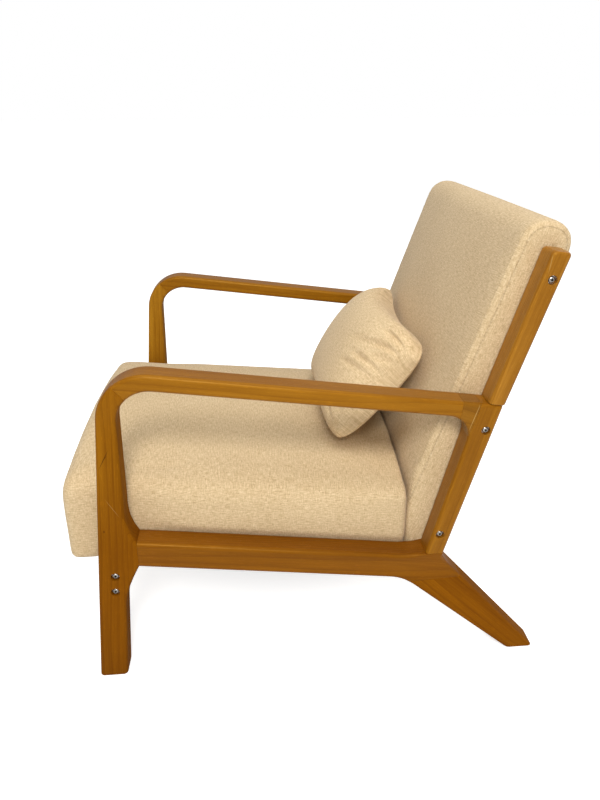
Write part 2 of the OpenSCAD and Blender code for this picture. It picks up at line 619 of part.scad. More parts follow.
pillow_shares = [0.12, 0.36, 0.6, 0.8, 0.93, 1];
pillow_rings = concat(
    [for (s = pillow_shares) [for (q = square_ring(s)) pillow_point(q, -pillow_rear)]],
    [for (i = [5:-1:0]) [for (q = square_ring(pillow_shares[i])) pillow_point(q, pillow_front)]]);

// The chair stands with the middle of its depth at Y = 0
front_end = min([for (r = seat_rings) for (p = r) p[1]]);
rear_end = max(concat([for (r = back_rings) for (p = r) p[1]], [for (g = rear_leg_rungs()) g[1][0]]));
mid_y = (front_end + rear_end) / 2;

// Mending plates: their front edge, their distance from the middle and their screws
strap_end = 3;
plate_y = frame_rear_y - 12;
plate_x = frame_x / 2;
plate_screws_y = [plate_y + 6, plate_y + plate_len - 8];

// Carries a fitting from its own axis to side-view point p on face x of side s, pointing inwards
module inwards(p, s, x) translate([s * x, p[0], p[1]]) rotate([0, -90 * s, 0]) children();

// Counterbore and clearance hole from the outer face of side s
module bolt_hole(p, s) inwards(p, s, timber_t / 2) {
    translate([0, 0, -1]) cylinder(d = counterbore_d, h = counterbore_h + 1, $fn = 32);
    cylinder(d = bolt_d + 2 * bolt_gap, h = timber_t + 1, $fn = 24);
}

module front_leg(s) color(wood) on_side(s) difference() {
    timber(leg_rungs());
    dowels(leg_dowel_list, fit_gap);
    dowels(mitre_dowel_list, fit_gap);
    for (p = leg_bolts_at) bolt_hole(p, s);
}

module armrest(s) color(wood) on_side(s) difference() {
    timber(arm_rungs());
    dowels(mitre_dowel_list, fit_gap);
    dowels(arm_dowel_list, fit_gap);
}

module corner_block(s) color(wood) on_side(s) difference() {
    timber(block_rungs());
    dowels(arm_dowel_list, fit_gap);
}

module lower_post(s) color(wood) on_side(s) difference() {
    timber(lower_post_rungs());
    dowels(arm_dowel_list, fit_gap);
    dowels(post_dowel_list, fit_gap);
    dowels(high_dowel_list, fit_gap);
    for (i = [0, 1]) bolt_hole(post_bolts_at[i], s);
}

module side_rail(s) color(wood) on_side(s) difference() {
    timber(rail_rungs());
    dowels(leg_dowel_list, fit_gap);
    dowels(post_dowel_list, fit_gap);
    dowels(rear_dowel_list, fit_gap);
}

module rear_leg(s) color(wood) on_side(s) difference() {
    timber(rear_leg_rungs());
    dowels(rear_dowel_list, fit_gap);
}

module upper_post(s) color(wood) on_side(s) difference() {
    timber(upper_post_rungs());
    dowels(high_dowel_list, fit_gap);
    bolt_hole(post_bolts_at[2], s);
}

// Boards are side-view outlines drawn out across the chair, from x0 to x1,
// or by half the width to each side of the middle
module board(x0, x1, outline)
    translate([x0, 0, 0]) rotate([90, 0, 90]) linear_extrude(x1 - x0) polygon(outline);
module across(half, outline) board(-half, half, outline);
// Outline between depths y0 and y1, and heights h0 and h1 over the seat's underside
function over_seat(y0, y1, h0, h1) =
    [for (c = [[y0, h0], [y1, h0], [y1, h1], [y0, h1]]) [c[0], seat_under(c[0]) + c[1]]];
// Outline between depths d0 and d1 in front of the back's rear face, from the seat's underside up to u
function in_back(d0, d1, u) = [under_back(d0), under_back(d1), back_at(u, d1), back_at(u, d0)];
function spread(a, b, n) = [for (i = [0:n - 1]) a + (b - a) * (i + 0.5) / n];

// Cross rail between the front legs, leaning as they do
function cross_line(z, side) = leg_front(z) + [leg_bolt_setback + side * cross_rail_t / 2, 0];
function cross_top(side) = meet(cross_line(0, side), 90 - leg_lean, [0, seat_under(0)], -rail_fall);

module front_cross_rail() color(wood) placed() difference() {
    across(inner_x,
        [cross_line(cross_rail_h, -1), cross_line(cross_rail_h, 1), cross_top(1), cross_top(-1)]);
    for (s = [-1, 1]) for (p = leg_bolts_at) {
        inwards(p, s, inner_x + 1) cylinder(d = bolt_d + 2 * bolt_gap, h = leg_bolt_len, $fn = 24);
        barrel_nut(p, s, fit_gap);
    }
}

module barrel_nut(p, s, grow = 0)
    translate([s * (inner_x - barrel_inset), p[0], p[1]]) rotate([90, 0, 0])
        cylinder(d = barrel_d + 2 * grow, h = cross_rail_t - 2 + 8 * grow, center = true, $fn = 24);

// Seat frame
module seat_board(x0, x1, y0, y1) board(x0, x1, over_seat(y0, y1, 0, seat_board_h));
module seat_frame_front() color(plain_wood) placed()
    seat_board(-frame_x, frame_x, frame_front_y, frame_front_y + board_t);
module seat_frame_rear() color(plain_wood) placed() difference() {
    seat_board(-frame_x, frame_x, frame_rear_y - board_t, frame_rear_y);
    plate_screw_holes();
}
module seat_frame_side(s) color(plain_wood) placed()
    translate([(s - 1) / 2 * (2 * frame_x - board_t), 0, 0])
        seat_board(frame_x - board_t, frame_x, frame_front_y + board_t, frame_rear_y - board_t);

module seat_webbing() color(webbing) placed() {
    front = frame_front_y + strap_end;
    rear = frame_rear_y - strap_end;
    for (x = spread(board_t - frame_x, frame_x - board_t, seat_straps))
        board(x - strap_w / 2, x + strap_w / 2,
            over_seat(front, rear, seat_board_h, seat_board_h + strap_t));
    for (y = spread(frame_front_y + board_t, frame_rear_y - board_t, seat_cross_straps))
        across(frame_x - strap_end,
            over_seat(y - strap_w / 2, y + strap_w / 2, seat_board_h + strap_t + fit_gap, webbing_top));
}

module seat_bottom_cloth() color(webbing) placed()
    across(frame_x - strap_end, over_seat(cross_top(1)[0] + 2, plate_y - 2, -cloth_t, 0));

// Seat cushion: foam and cover over the frame, with a nose in front of the cross rail
module seat_cushion() color(cloth) placed() difference() {
    skin(seat_rings);
    across(overall_w / 2, over_seat(nose_back_y, seat_rear_y + 1, -under_cut, soft_gap));
    across(frame_x + soft_gap, concat(
        over_seat(nose_back_y, frame_rear_y + soft_gap, -1, webbing_top + soft_gap),
        [[frame_front_y - soft_gap, seat_under(frame_front_y) + webbing_top + soft_gap],
            [frame_front_y - soft_gap, seat_under(frame_front_y) - soft_gap],
            [nose_back_y, seat_under(nose_back_y) - soft_gap]]));
}

// Back frame
module back_frame_side(s) color(plain_wood) placed() difference() {
    translate([(s - 1) / 2 * (2 * frame_x - board_t), 0, 0])
        board(frame_x - board_t, frame_x, in_back(back_panel_t, back_frame_d, frame_top_u));
    for (p = post_bolts_at)
        inwards(p, s, frame_x + 1) cylinder(d = insert_d + 2 * fit_gap, h = insert_len + 2, $fn = 24);
}

module back_frame_top() color(plain_wood) placed()
    across(frame_x - board_t, [for (c = [[0, 0], [0, 1], [1, 1], [1, 0]])
        back_at(frame_top_u - c[0] * board_t, c[1] == 0 ? back_panel_t : back_frame_d)]);

module back_frame_bottom() color(plain_wood) placed() difference() {
    across(frame_x - board_t, let (up = board_t * [sin(back_lean), cos(back_lean)],
        rear = under_back(back_panel_t), front = under_back(back_frame_d))
        [rear, front, front + up, rear + up]);
    plate_screw_holes();
}

module back_webbing() color(webbing) placed()
    for (u = spread(under_back_u(back_frame_d) + board_t, frame_top_u - board_t, back_straps))
        across(frame_x - strap_end, [for (c = [[-1, 0], [-1, 1], [1, 1], [1, 0]])
            back_at(u + c[0] * strap_w / 2, back_frame_d + c[1] * strap_t)]);

module back_panel() color(cloth) placed() across(frame_x, in_back(0, back_panel_t, frame_top_u));

// Depth below the seat's underside to which the cushions are cut away
under_cut = 100;
module back_cushion() color(cloth) placed() difference() {
    skin(back_rings);
    across(overall_w / 2, over_seat(seat_rear_y - 5, heel_y, -under_cut, soft_gap));
    across(frame_x + soft_gap, [for (c = [[0, 0], [1, 0], [1, 1], [0, 1]])
        back_at(c[0] == 0 ? back_low : frame_top_u + soft_gap,
            c[1] == 0 ? -strap_t : back_frame_d + strap_t + soft_gap)]);
    for (s = [-1, 1]) for (p = post_bolts_at)
        inwards(p, s, inner_x + 1) cylinder(d = bolt_d + 2 * bolt_gap, h = wrap_t + 4, $fn = 24);
}

module lumbar_pillow() color(cloth) placed() skin(pillow_rings);

// Fittings: heads and washers stand on the floors of the counterbores
module bolt(len) difference() {
    union() {
        cylinder(d = bolt_d, h = len, $fn = 24);
        mirror([0, 0, 1]) rotate_extrude($fn = 32) polygon(concat([[0, 0], [head_d / 2, 0]],
            [for (turn = [0:15:60]) [head_d / 2 * cos(turn), head_h * lerp(0.2, 1, sin(turn) / sin(60))]],
            [[0, head_h]]));
    }
    translate([0, 0, -head_h - 1]) cylinder(d = socket_af / cos(30), h = 0.75 * head_h + 1, $fn = 6);
}
module bolts(list, len) color(steel) placed() for (s = [-1, 1]) for (p = list)
    inwards(p, s, overall_w / 2 - counterbore_h + washer_t) bolt(len);
module bolt_washers() color(steel) placed() for (s = [-1, 1]) for (p = concat(leg_bolts_at, post_bolts_at))
    inwards(p, s, overall_w / 2 - counterbore_h + washer_t) ring(washer_d, washer_t);
module threaded_inserts() color(steel) placed() for (s = [-1, 1]) for (p = post_bolts_at)
    inwards(p, s, frame_x) ring(insert_d, insert_len);
// Ring round a bolt
module ring(d, h) difference() {
    cylinder(d = d, h = h, $fn = 24);
    translate([0, 0, -1]) cylinder(d = bolt_d + 2 * fit_gap, h = h + 2, $fn = 24);
}
module barrel_nuts() color(steel) placed() for (s = [-1, 1]) for (p = leg_bolts_at) difference() {
    barrel_nut(p, s);
    inwards(p, s, inner_x) cylinder(d = bolt_d + 2 * fit_gap, h = 2 * barrel_inset, $fn = 24);
}

// Plates that tie the back frame to the seat frame from below, and their screws
module under_seat(x, y) translate([x, y, seat_under(y)]) rotate([-rail_fall, 0, 0]) children();
module at_plate_screws() for (s = [-1, 1]) for (x = [-plate_w / 4, plate_w / 4]) for (y = plate_screws_y)
    under_seat(s * plate_x + x, y) children();
module plate_screw_holes() at_plate_screws()
    translate([0, 0, -plate_t - 1]) cylinder(d = screw_d + 2 * fit_gap, h = screw_len + 1, $fn = 16);
module mending_plates() color(steel) placed() difference() {
    for (s = [-1, 1]) under_seat(s * plate_x, plate_y + plate_len / 2)
        translate([-plate_w / 2, -plate_len / 2, -plate_t]) cube([plate_w, plate_len, plate_t]);
    plate_screw_holes();
}
module plate_screws() color(steel) placed() at_plate_screws() translate([0, 0, -plate_t]) {
    cylinder(d = screw_d, h = screw_len, $fn = 16);
    translate([0, 0, -screw_d / 2]) cylinder(d = 2 * screw_d, h = screw_d / 2, $fn = 24);
}

front_leg(1);  // front_leg_left
front_leg(-1);  // front_leg_right
armrest(1);  // armrest_left
armrest(-1);  // armrest_right
corner_block(1);  // corner_block_left
corner_block(-1);  // corner_block_right
lower_post(1);  // lower_post_left
lower_post(-1);  // lower_post_right
side_rail(1);  // side_rail_left
side_rail(-1);  // side_rail_right
rear_leg(1);  // rear_leg_left
rear_leg(-1);  // rear_leg_right
upper_post(1);  // upper_post_left
upper_post(-1);  // upper_post_right
front_cross_rail();
seat_frame_front();
seat_frame_rear();
seat_frame_side(1);  // seat_frame_left
seat_frame_side(-1);  // seat_frame_right
seat_webbing();
seat_bottom_cloth();
seat_cushion();
back_frame_side(1);  // back_frame_left
back_frame_side(-1);  // back_frame_right
back_frame_top();
back_frame_bottom();
back_webbing();
back_cushion();
back_panel();
lumbar_pillow();
bolts(leg_bolts_at, leg_bolt_len);  // leg_bolts
bolts(post_bolts_at, post_bolt_len);  // post_bolts
bolt_washers();
barrel_nuts();
threaded_inserts();
dowels_on_both(leg_dowel_list);  // leg_dowels
dowels_on_both(mitre_dowel_list);  // mitre_dowels
dowels_on_both(arm_dowel_list);  // arm_dowels
dowels_on_both(concat(post_dowel_list, high_dowel_list));  // post_dowels
dowels_on_both(rear_dowel_list);  // rear_leg_dowels
mending_plates();
plate_screws();
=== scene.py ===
"""Looks of an upholstered lounge armchair on two bent timber side frames.

Metres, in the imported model's frame: the chair faces -Y, +Z is up and +X is the sitter's left.
Sizes of the timber are in millimetres in a side view [y, z], with y counted rearwards from the
toe of the front leg. SideView.place brings such points into the frame.
"""

import logging
import math
from dataclasses import dataclass, field
from enum import Enum
from typing import Any, Callable, Iterator, Optional, Sequence

import bmesh
import bpy
import numpy as np
from mathutils import Matrix, Vector


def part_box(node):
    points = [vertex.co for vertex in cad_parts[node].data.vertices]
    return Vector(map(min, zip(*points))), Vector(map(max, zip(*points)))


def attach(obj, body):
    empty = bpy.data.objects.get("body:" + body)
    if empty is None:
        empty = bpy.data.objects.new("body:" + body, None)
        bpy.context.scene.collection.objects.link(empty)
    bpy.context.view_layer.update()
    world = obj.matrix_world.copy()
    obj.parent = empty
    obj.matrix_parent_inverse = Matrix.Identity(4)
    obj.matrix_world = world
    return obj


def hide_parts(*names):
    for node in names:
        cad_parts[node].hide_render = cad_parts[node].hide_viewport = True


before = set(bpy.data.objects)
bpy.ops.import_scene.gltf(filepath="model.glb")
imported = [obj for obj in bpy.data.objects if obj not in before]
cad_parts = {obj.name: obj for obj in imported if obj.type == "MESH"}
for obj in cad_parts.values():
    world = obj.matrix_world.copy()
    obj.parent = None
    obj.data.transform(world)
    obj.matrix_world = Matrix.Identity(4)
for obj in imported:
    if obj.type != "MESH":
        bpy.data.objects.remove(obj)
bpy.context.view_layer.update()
Array, Piece, Mesh, Material = np.ndarray, bpy.types.Object, bpy.types.Mesh, bpy.types.Material
Pair, Triple, Tint = tuple[float, float], tuple[float, float, float], tuple[float, float, float, float]
MM = 0.001
SHARP = 38.0
log = logging.getLogger("armchair")
WHITE = (1.0, 1.0, 1.0, 1.0)
# Pale lines on the timber; along the joint of the corner block and the lower post this is a painted highlight
# on the groove's edges.
PALE_LINE = (0.62, 0.40, 0.14, 1.0)
DARK_PORE = (0.09, 0.028, 0.002, 1.0)
RINGS = 190  # growth rings in a metre of board
WORN_BAND = 0.045  # half the height over which matt lacquer turns to satin, in metres
WOOD_STOPS = ((0.10, (0.500, 0.200, 0.0140)), (0.38, (0.385, 0.145, 0.0065)),
              (0.62, (0.262, 0.088, 0.0030)), (0.92, (0.105, 0.030, 0.0012)))
CROSS_RAIL_STOPS = ((0.30, (0.44, 0.19, 0.045)), (0.52, (0.31, 0.115, 0.018)), (0.80, (0.14, 0.042, 0.006)))
SOFTWOOD_STOPS = ((0.30, (0.74, 0.56, 0.34)), (0.52, (0.62, 0.43, 0.23)), (0.75, (0.42, 0.26, 0.12)))
LINEN_STOPS = ((0.28, (0.440, 0.306, 0.156)), (0.50, (0.620, 0.465, 0.270)), (0.72, (0.780, 0.622, 0.395)))
WEBBING_STOPS = ((0.2, (0.012, 0.011, 0.010)), (0.8, (0.060, 0.054, 0.048)))


class Side(Enum):
    """The two side frames, by the sign of their X."""

    LEFT = 1
    RIGHT = -1


class Figure(Enum):
    """How a board was cut from the tree, which sets the pattern on its broad faces."""

    STRAIGHT = (0.060, 0.145)
    CATHEDRAL = (0.006, 0.052)


# ---------------------------------------------------------------- shader helpers


class Signal:
    """A number that varies over a surface: one socket of a shader, with Python's operators."""

    def __init__(self, shader: "Shader", socket: Any) -> None:
        """Wraps a socket of a shader's node."""
        self.shader = shader
        self.socket = socket

    def math(self, operation: str, *others: Any) -> "Signal":
        """This signal and the others through a Math node."""
        return self.shader.computed(operation, self, *others)

    def __add__(self, other: Any) -> "Signal":
        """Sum."""
        return self.math("ADD", other)

    __radd__ = __add__

    def __sub__(self, other: Any) -> "Signal":
        """Difference."""
        return self.math("SUBTRACT", other)

    def __rsub__(self, other: float) -> "Signal":
        """Difference from a number."""
        return self.shader.computed("SUBTRACT", other, self)

    def __mul__(self, other: Any) -> "Signal":
        """Product."""
        return self.math("MULTIPLY", other)

    __rmul__ = __mul__

    def __truediv__(self, other: Any) -> "Signal":
        """Quotient."""
        return self.math("DIVIDE", other)

    def __pow__(self, other: Any) -> "Signal":
        """Power."""
        return self.math("POWER", other)

    def __abs__(self) -> "Signal":
        """Absolute value."""
        return self.math("ABSOLUTE")

    def fade(self, start: float, end: float) -> "Signal":
        """1 at start and beyond, falling smoothly to 0 at end, whichever of them is larger.

        Args:
            start: where it reaches 1.
            end: where it reaches 0.

        Returns:
            The new signal.
        """
        made = self.shader.node("ShaderNodeMapRange", {"interpolation_type": "SMOOTHSTEP"},
                                {"Value": self, "From Min": end, "From Max": start})
        return Signal(self.shader, made.outputs["Result"])


class Shader:
    """A material or a world under construction, with one method for every kind of node."""

    def __init__(self, name: str, world: bool = False) -> None:
        """Starts an empty material of that name, or an empty world.

        Args:
            name: its name.
            world: whether it is a world.
        """
        self.owner = (bpy.data.worlds if world else bpy.data.materials).new(name)
        self.owner.use_nodes = True
        self.tree = self.owner.node_tree
        self.tree.nodes.clear()
        self.output = self.tree.nodes.new("ShaderNodeOutputWorld" if world else "ShaderNodeOutputMaterial")

    def link(self, value: Any, socket: Any) -> None:
        """Sets a socket from a signal, another socket, or a plain value.

        Args:
            value: the signal, socket or plain value.
            socket: the socket that gets it.
        """
        if isinstance(value, Signal):
            value = value.socket
        if isinstance(value, bpy.types.NodeSocket):
            self.tree.links.new(value, socket)
        else:
            socket.default_value = value

    def node(self, kind: str, settings: Optional[dict] = None, inputs: Optional[dict] = None) -> Any:
        """Adds a node.

        Args:
            kind: the node's type.
            settings: its properties; "stops" holds a ramp's (position, colour) pairs.
            inputs: values or links of its sockets, by name or number.

        Returns:
            The node.
        """
        made = self.tree.nodes.new(kind)
        for key, value in (settings or {}).items():
            if key == "stops":
                ramp = made.color_ramp
                while len(ramp.elements) < len(value):
                    ramp.elements.new(1.0)
                for element, (position, colour) in zip(ramp.elements, value):
                    element.position = position
                    element.color = (*colour, 1.0)
            else:
                setattr(made, key, value)
        for key, value in (inputs or {}).items():
            self.link(value, made.inputs[key])
        return made

    def computed(self, operation: str, *values: Any) -> Signal:
        """Adds a Math node over numbers or signals."""
        made = self.node("ShaderNodeMath", {"operation": operation}, dict(enumerate(values)))
        return Signal(self, made.outputs[0])

    def vector(self, operation: str, *values: Any) -> Any:
        """Adds a Vector Math node and gives its vector."""
        made = self.node("ShaderNodeVectorMath", {"operation": operation}, dict(enumerate(values)))
        return made.outputs["Vector"]

    def here(self) -> Any:
        """The object's own coordinates."""
        return self.node("ShaderNodeTexCoord").outputs["Object"]

    def attribute(self, name: str) -> Signal:
        """A number that the mesh holds for each vertex."""
        return Signal(self, self.node("ShaderNodeAttribute", {"attribute_name": name}).outputs["Fac"])

    def turned(self, vector: Any, middle: Sequence[float], lean: float) -> Any:
        """Coordinates counted from a middle, turned so that their Z runs along a lean.

        Args:
            vector: the coordinates.
            middle: the point that becomes the origin.
            lean: direction in the side view, in degrees from rearwards towards up.

        Returns:
            The new coordinates.
        """
        turn = (math.radians(90 - lean), 0.0, 0.0)
        inputs = {"Vector": self.vector("SUBTRACT", vector, middle), "Rotation": turn}
        return self.node("ShaderNodeMapping", None, inputs).outputs["Vector"]

    def split(self, vector: Any) -> tuple[Signal, Signal, Signal]:
        """The three parts of a vector."""
        made = self.node("ShaderNodeSeparateXYZ", None, {0: vector})
        return tuple(Signal(self, made.outputs[i]) for i in range(3))

    def noise(self, vector: Any, factors: Sequence[float], detail: float = 2.0, rough: float = 0.5) -> Signal:
        """Smooth random signal between 0 and 1.

        Args:
            vector: the coordinates.
            factors: how many features there are in a metre along each of them.
            detail: number of finer layers.
            rough: strength of the finer layers.

        Returns:
            The signal.
        """
        place = self.vector("MULTIPLY", vector, factors)
        inputs = {"Vector": place, "Scale": 1.0, "Detail": detail, "Roughness": rough}
        return Signal(self, self.node("ShaderNodeTexNoise", None, inputs).outputs[0])

    def ramp(self, value: Signal, stops: Sequence[tuple], tone: Sequence[float] = (1.0, 1.0, 1.0)) -> Any:
        """Colour that follows a signal through stops, whose red, green and blue the tone multiplies."""
        toned = [(at, tuple(c * f for c, f in zip(shown, tone))) for at, shown in stops]
        return self.node("ShaderNodeValToRGB", {"stops": toned}, {"Fac": value}).outputs["Color"]

    def mix(self, factor: Any, first: Any, second: Any) -> Any:
        """Colour between two colours."""
        made = self.node("ShaderNodeMix", {"data_type": "RGBA"}, {"Factor": factor, 6: first, 7: second})
        return made.outputs[2]

    def bump(self, height: Signal, distance: float, strength: float = 1.0, normal: Any = None) -> Any:
        """Normal tilted by a height signal, whose full range stands for that distance in metres.

        Args:
            height: the signal.
            distance: the height in metres of its full range.
            strength: share of the tilt that shows.
            normal: another bump's normal to start from.

        Returns:
            The normal.
        """
        inputs = {"Height": height, "Distance": distance, "Strength": strength}
        if normal is not None:
            inputs["Normal"] = normal
        return self.node("ShaderNodeBump", None, inputs).outputs["Normal"]

    def finish(self, **sockets: Any) -> Material:
        """Ends the material in a Principled shader.

        Args:
            sockets: values by socket name, with underscores for spaces.

        Returns:
            The material.
        """
        inputs = {key.replace("_", " "): value for key, value in sockets.items()}
        made = self.node("ShaderNodeBsdfPrincipled", None, inputs)
        self.link(made.outputs[0], self.output.inputs["Surface"])
        return self.owner

    def seen(self, lit: Any, shown: Any) -> None:
        """Ends the tree in one look for the camera's own rays and another for all other light.

        Args:
            lit: what other rays meet.
            shown: what the camera sees.
        """
        straight = self.node("ShaderNodeLightPath").outputs["Is Camera Ray"]
        mixed = self.node("ShaderNodeMixShader", None, {0: straight, 1: lit, 2: shown})
        self.link(mixed.outputs[0], self.output.inputs["Surface"])


# ---------------------------------------------------------------- finishes


@dataclass(frozen=True)
class Streak:
    """A thin mark on a timber face, such as a dark vein, or a pale line, which is a painted highlight where
    it runs along a joint.

    Attributes:
        place: its middle, in metres.
        lean: its direction in the side view, in degrees.
        length: its length in metres.
        width: its width in metres.
        colour: its colour.
        strength: how far it covers the wood.
    """

    place: Triple
    lean: float
    length: float
    width: float
    colour: Tint = (0.045, 0.014, 0.001, 1.0)
    strength: float = 0.75

    def mask(self, shader: "Shader", here: Any) -> Signal:
        """Where the mark is: inside a long thin ellipsoid, fading at its edge.

        Args:
            shader: the material under construction.
            here: object coordinates.

        Returns:
            The strength there, and 0 elsewhere.
        """
        turned = shader.turned(here, self.place, self.lean)
        squeezed = shader.vector("MULTIPLY", turned, (0.2, 1.0, self.width / self.length))
        reach = shader.node("ShaderNodeVectorMath", {"operation": "LENGTH"}, {0: squeezed})
        return Signal(shader, reach.outputs["Value"]).fade(self.width * 0.2, self.width * 0.6) * self.strength


@dataclass(frozen=True)
class Board:
    """How one timber of a side frame was cut, stained and lacquered.

    Attributes:
        lean: direction of its grain in the side view, in degrees from rearwards towards up.
        middle: side-view point from which its own pattern is counted.
        tone: factors on red, green and blue, as boards differ; they also hold painted light and shade, paler
            on the arm and upper post and darker on the low pieces.
        figure: how it was cut.
        foot_tone: the tone low down, a painted shade that darkens the timber towards the floor, or None where
            there is none.
        foot_band: heights in metres between which that tone ends.
        worn: height in metres up to which the lacquer is matt.
        shine: how strongly the lacquer reflects.
        far: further factors on the right frame's board, painted light and shade for how the lamps fall on
            that frame.
        marks: values of a Streak each, with a side-view point as its place; the left board has them.
    """

    lean: float
    middle: Pair
    tone: Triple
    figure: Figure = Figure.STRAIGHT
    foot_tone: Optional[Triple] = None
    foot_band: Pair = (0.25, 0.42)
    worn: float = 0.0
    shine: float = 0.40
    far: Triple = (1, 1, 1)
    marks: tuple[tuple, ...] = ()


@dataclass(frozen=True)
class Lacquered:
    """Golden-brown hardwood under a satin lacquer, with its grain along one piece.

    Attributes:
        name: the material's name.
        board: how the timber is finished.
        centre: the point in metres from which its pattern is counted.
        tone: factors on red, green and blue of this piece.
        streaks: thin marks on it.
    """

    name: str
    board: Board
    centre: Triple
    tone: Triple
    streaks: tuple[Streak, ...] = ()

    def material(self) -> Material:
        """Builds the material.

        Growth rings are circles round an axis beside the piece, bent by slow noise; between them
        run fine fibres and short pores. All three are long along the grain.

        Returns:
            The material.
        """
        shader, board = Shader(self.name), self.board
        here = shader.here()
        grain = shader.turned(here, self.centre, board.lean)
        across, depth, along = shader.split(grain)
        wander = shader.noise(grain, (9, 9, 1.6), 3.0)
        near, spread = board.figure.value
        radius = ((across + spread) ** 2 + (depth + near) ** 2) ** 0.5
        ring = radius * RINGS + wander * 3.4 + along * 2.0
        late = ring.math("FRACT") ** 3
        fibre = shader.noise(grain, (420, 420, 9), 4.0, 0.65)
        broad = shader.noise(grain, (26, 26, 3.2), 3.0, 0.55)
        pores = shader.noise(grain, (1500, 1500, 60), 1.0).fade(0.36, 0.30)
        shade = late * 0.16 + fibre * 0.42 + broad * 0.62 - 0.10
        colour = shader.ramp(shade, WOOD_STOPS, self.tone)
        height = shader.split(here)[2]
        # Painted shade: below foot_band the timber is drawn darker towards the floor.
        if board.foot_tone is not None:
            low = shader.ramp(shade, WOOD_STOPS, board.foot_tone)
            colour = shader.mix(height.fade(*board.foot_band), colour, low)
        for streak in self.streaks:
            colour = shader.mix(streak.mask(shader, here), colour, streak.colour)
        matt = height.fade(board.worn - WORN_BAND, board.worn + WORN_BAND)
        return shader.finish(
            Base_Color=shader.mix(pores * 0.35, colour, DARK_PORE),
            Roughness=fibre * 0.10 + 0.30 + matt * 0.55,
            Normal=shader.bump(0.6 * fibre - 0.5 * pores, 0.00022, 0.5),
            Specular_IOR_Level=board.shine,
            Specular_Tint=(1.0, 0.62, 0.16, 1.0),
        )


@dataclass(frozen=True)
class LacqueredRail:
    """The same lacquered hardwood with its grain across the chair, for the hidden cross rail."""

    name: str

    def material(self) -> Material:
        """Builds the material: fibres and broad bands that run along X, under a thin clear coat.

        Returns:
            The material.
        """
        shader = Shader(self.name)
        here = shader.here()
        fibre = shader.noise(here, (8, 380, 380), 4.0, 0.6)
        broad = shader.noise(here, (3, 26, 26), 2.0)
        colour = shader.ramp(fibre * 0.5 + broad * 0.5, CROSS_RAIL_STOPS)
        return shader.finish(Base_Color=colour, Roughness=0.38, Normal=shader.bump(fibre, 0.0002, 0.5),
                             Coat_Weight=0.2, Coat_Roughness=0.22)


@dataclass(frozen=True)
class Linen:
    """Beige linen weave with slubs, read from the piece's own UV map in metres.

    Attributes:
        name: the material's name.
        pitch: distance between two yarns, in metres.
        seam: name of the attribute that holds the distance to a seam in millimetres, or None.
        gather: how strongly the cloth puckers beside the seam.
        stitch: how dark the painted shade in the stitch holes is.
        stitch_pitch: distance between two stitches, in metres.
        pucker_pitch: distance between two puckers, in metres.
        light: factor on the cloth's colours, which paints one piece lighter than the same linen elsewhere.
    """

    name: str
    pitch: float = 0.0015
    seam: Optional[str] = None
    gather: float = 0.5
    stitch: float = 0.22
    stitch_pitch: float = 0.0068
    pucker_pitch: float = 0.0125
    light: float = 1.0

    def material(self) -> Material:
        """Builds the material.

        In a plain weave the yarn on top changes from one crossing to the next, where the product
        of two sines changes its sign. Slubs are noise that is long along its yarn.

        Returns:
            The material.
        """
        shader = Shader(self.name)
        place = shader.node("ShaderNodeUVMap", {"uv_map": "weave"}).outputs["UV"]
        u, v, _ = shader.split(place)
        wave_u = (u * (math.pi / self.pitch)).math("SINE")
        wave_v = (v * (math.pi / self.pitch)).math("SINE")
        over = wave_u * wave_v
        upright = abs(wave_u) * (over * 0.5 + 0.5)
        flat = abs(wave_v) * (0.5 - over * 0.5)
        weave = upright.math("MAXIMUM", flat)
        slub_v = shader.noise(place, (560, 100, 1), 2.0, 0.6)
        slub_u = shader.noise(place, (90, 560, 1), 2.0, 0.6)
        fleck = shader.noise(place, (420, 420, 1), 2.0, 0.75)
        cloud = shader.noise(place, (9, 9, 1), 2.0)
        shade = slub_u * 0.66 + slub_v * 0.44 + fleck * 0.50 + cloud * 0.10 - 0.35
        # The light factor scales the colours: painted light where it differs from 1.
        colour = shader.ramp(shade, LINEN_STOPS, [self.light] * 3)
        # Painted shade: the gaps between the yarns are drawn darker.
        colour = shader.mix(weave.fade(0.1, 0.6) * 0.22, colour, (0.40, 0.28, 0.14, 1.0))
        height = weave * 0.55 + slub_u * 0.5 + slub_v * 0.4
        normal = shader.bump(height, 0.0005, 0.55)
        if self.seam is not None:
            gap = shader.attribute(self.seam)
            _, y, z = shader.split(shader.here())
            run = z + y * 0.5
            stitch = (run * (2 * math.pi / self.stitch_pitch)).math("SINE").fade(0.2, -0.5)
            groove = abs(gap).fade(0.0, 2.0)
            drift = shader.noise(place, (60, 60, 1), 1.0)
            wave = (run * (2 * math.pi / self.pucker_pitch) + drift * 14.0).math("SINE")
            pucker = wave * abs(gap).fade(1.0, 11.0)
            # Painted shade in the seam's groove and in its stitch holes.
            colour = shader.mix(groove * (stitch * self.stitch + 0.06), colour, (0.20, 0.13, 0.06, 1.0))
            normal = shader.bump(pucker * drift * self.gather - groove * 0.9, 0.0010, 0.8, normal)
        return shader.finish(Base_Color=colour, Roughness=0.92, Normal=normal, Sheen_Weight=0.12,
                             Sheen_Roughness=0.5, Specular_IOR_Level=0.2)


@dataclass(frozen=True)
class PlainTimber:
    """Unfinished softwood of the inner frames, with its grain along one axis of the chair."""

    name: str
    along: int

    def material(self) -> Material:
        """Builds the material: pale wood with darker growth lines that run along the board.

        Returns:
            The material.
        """
        shader = Shader(self.name)
        here = shader.here()
        factors = [70.0, 70.0, 70.0]
        factors[self.along] = 3.0
        line = shader.noise(here, factors, 3.0, 0.6)
        fine = shader.noise(here, [f * 8 for f in factors], 2.0)
        colour = shader.ramp(line * 0.75 + fine * 0.25, SOFTWOOD_STOPS)
        return shader.finish(Base_Color=colour, Roughness=0.72, Normal=shader.bump(fine, 0.0003, 0.4))


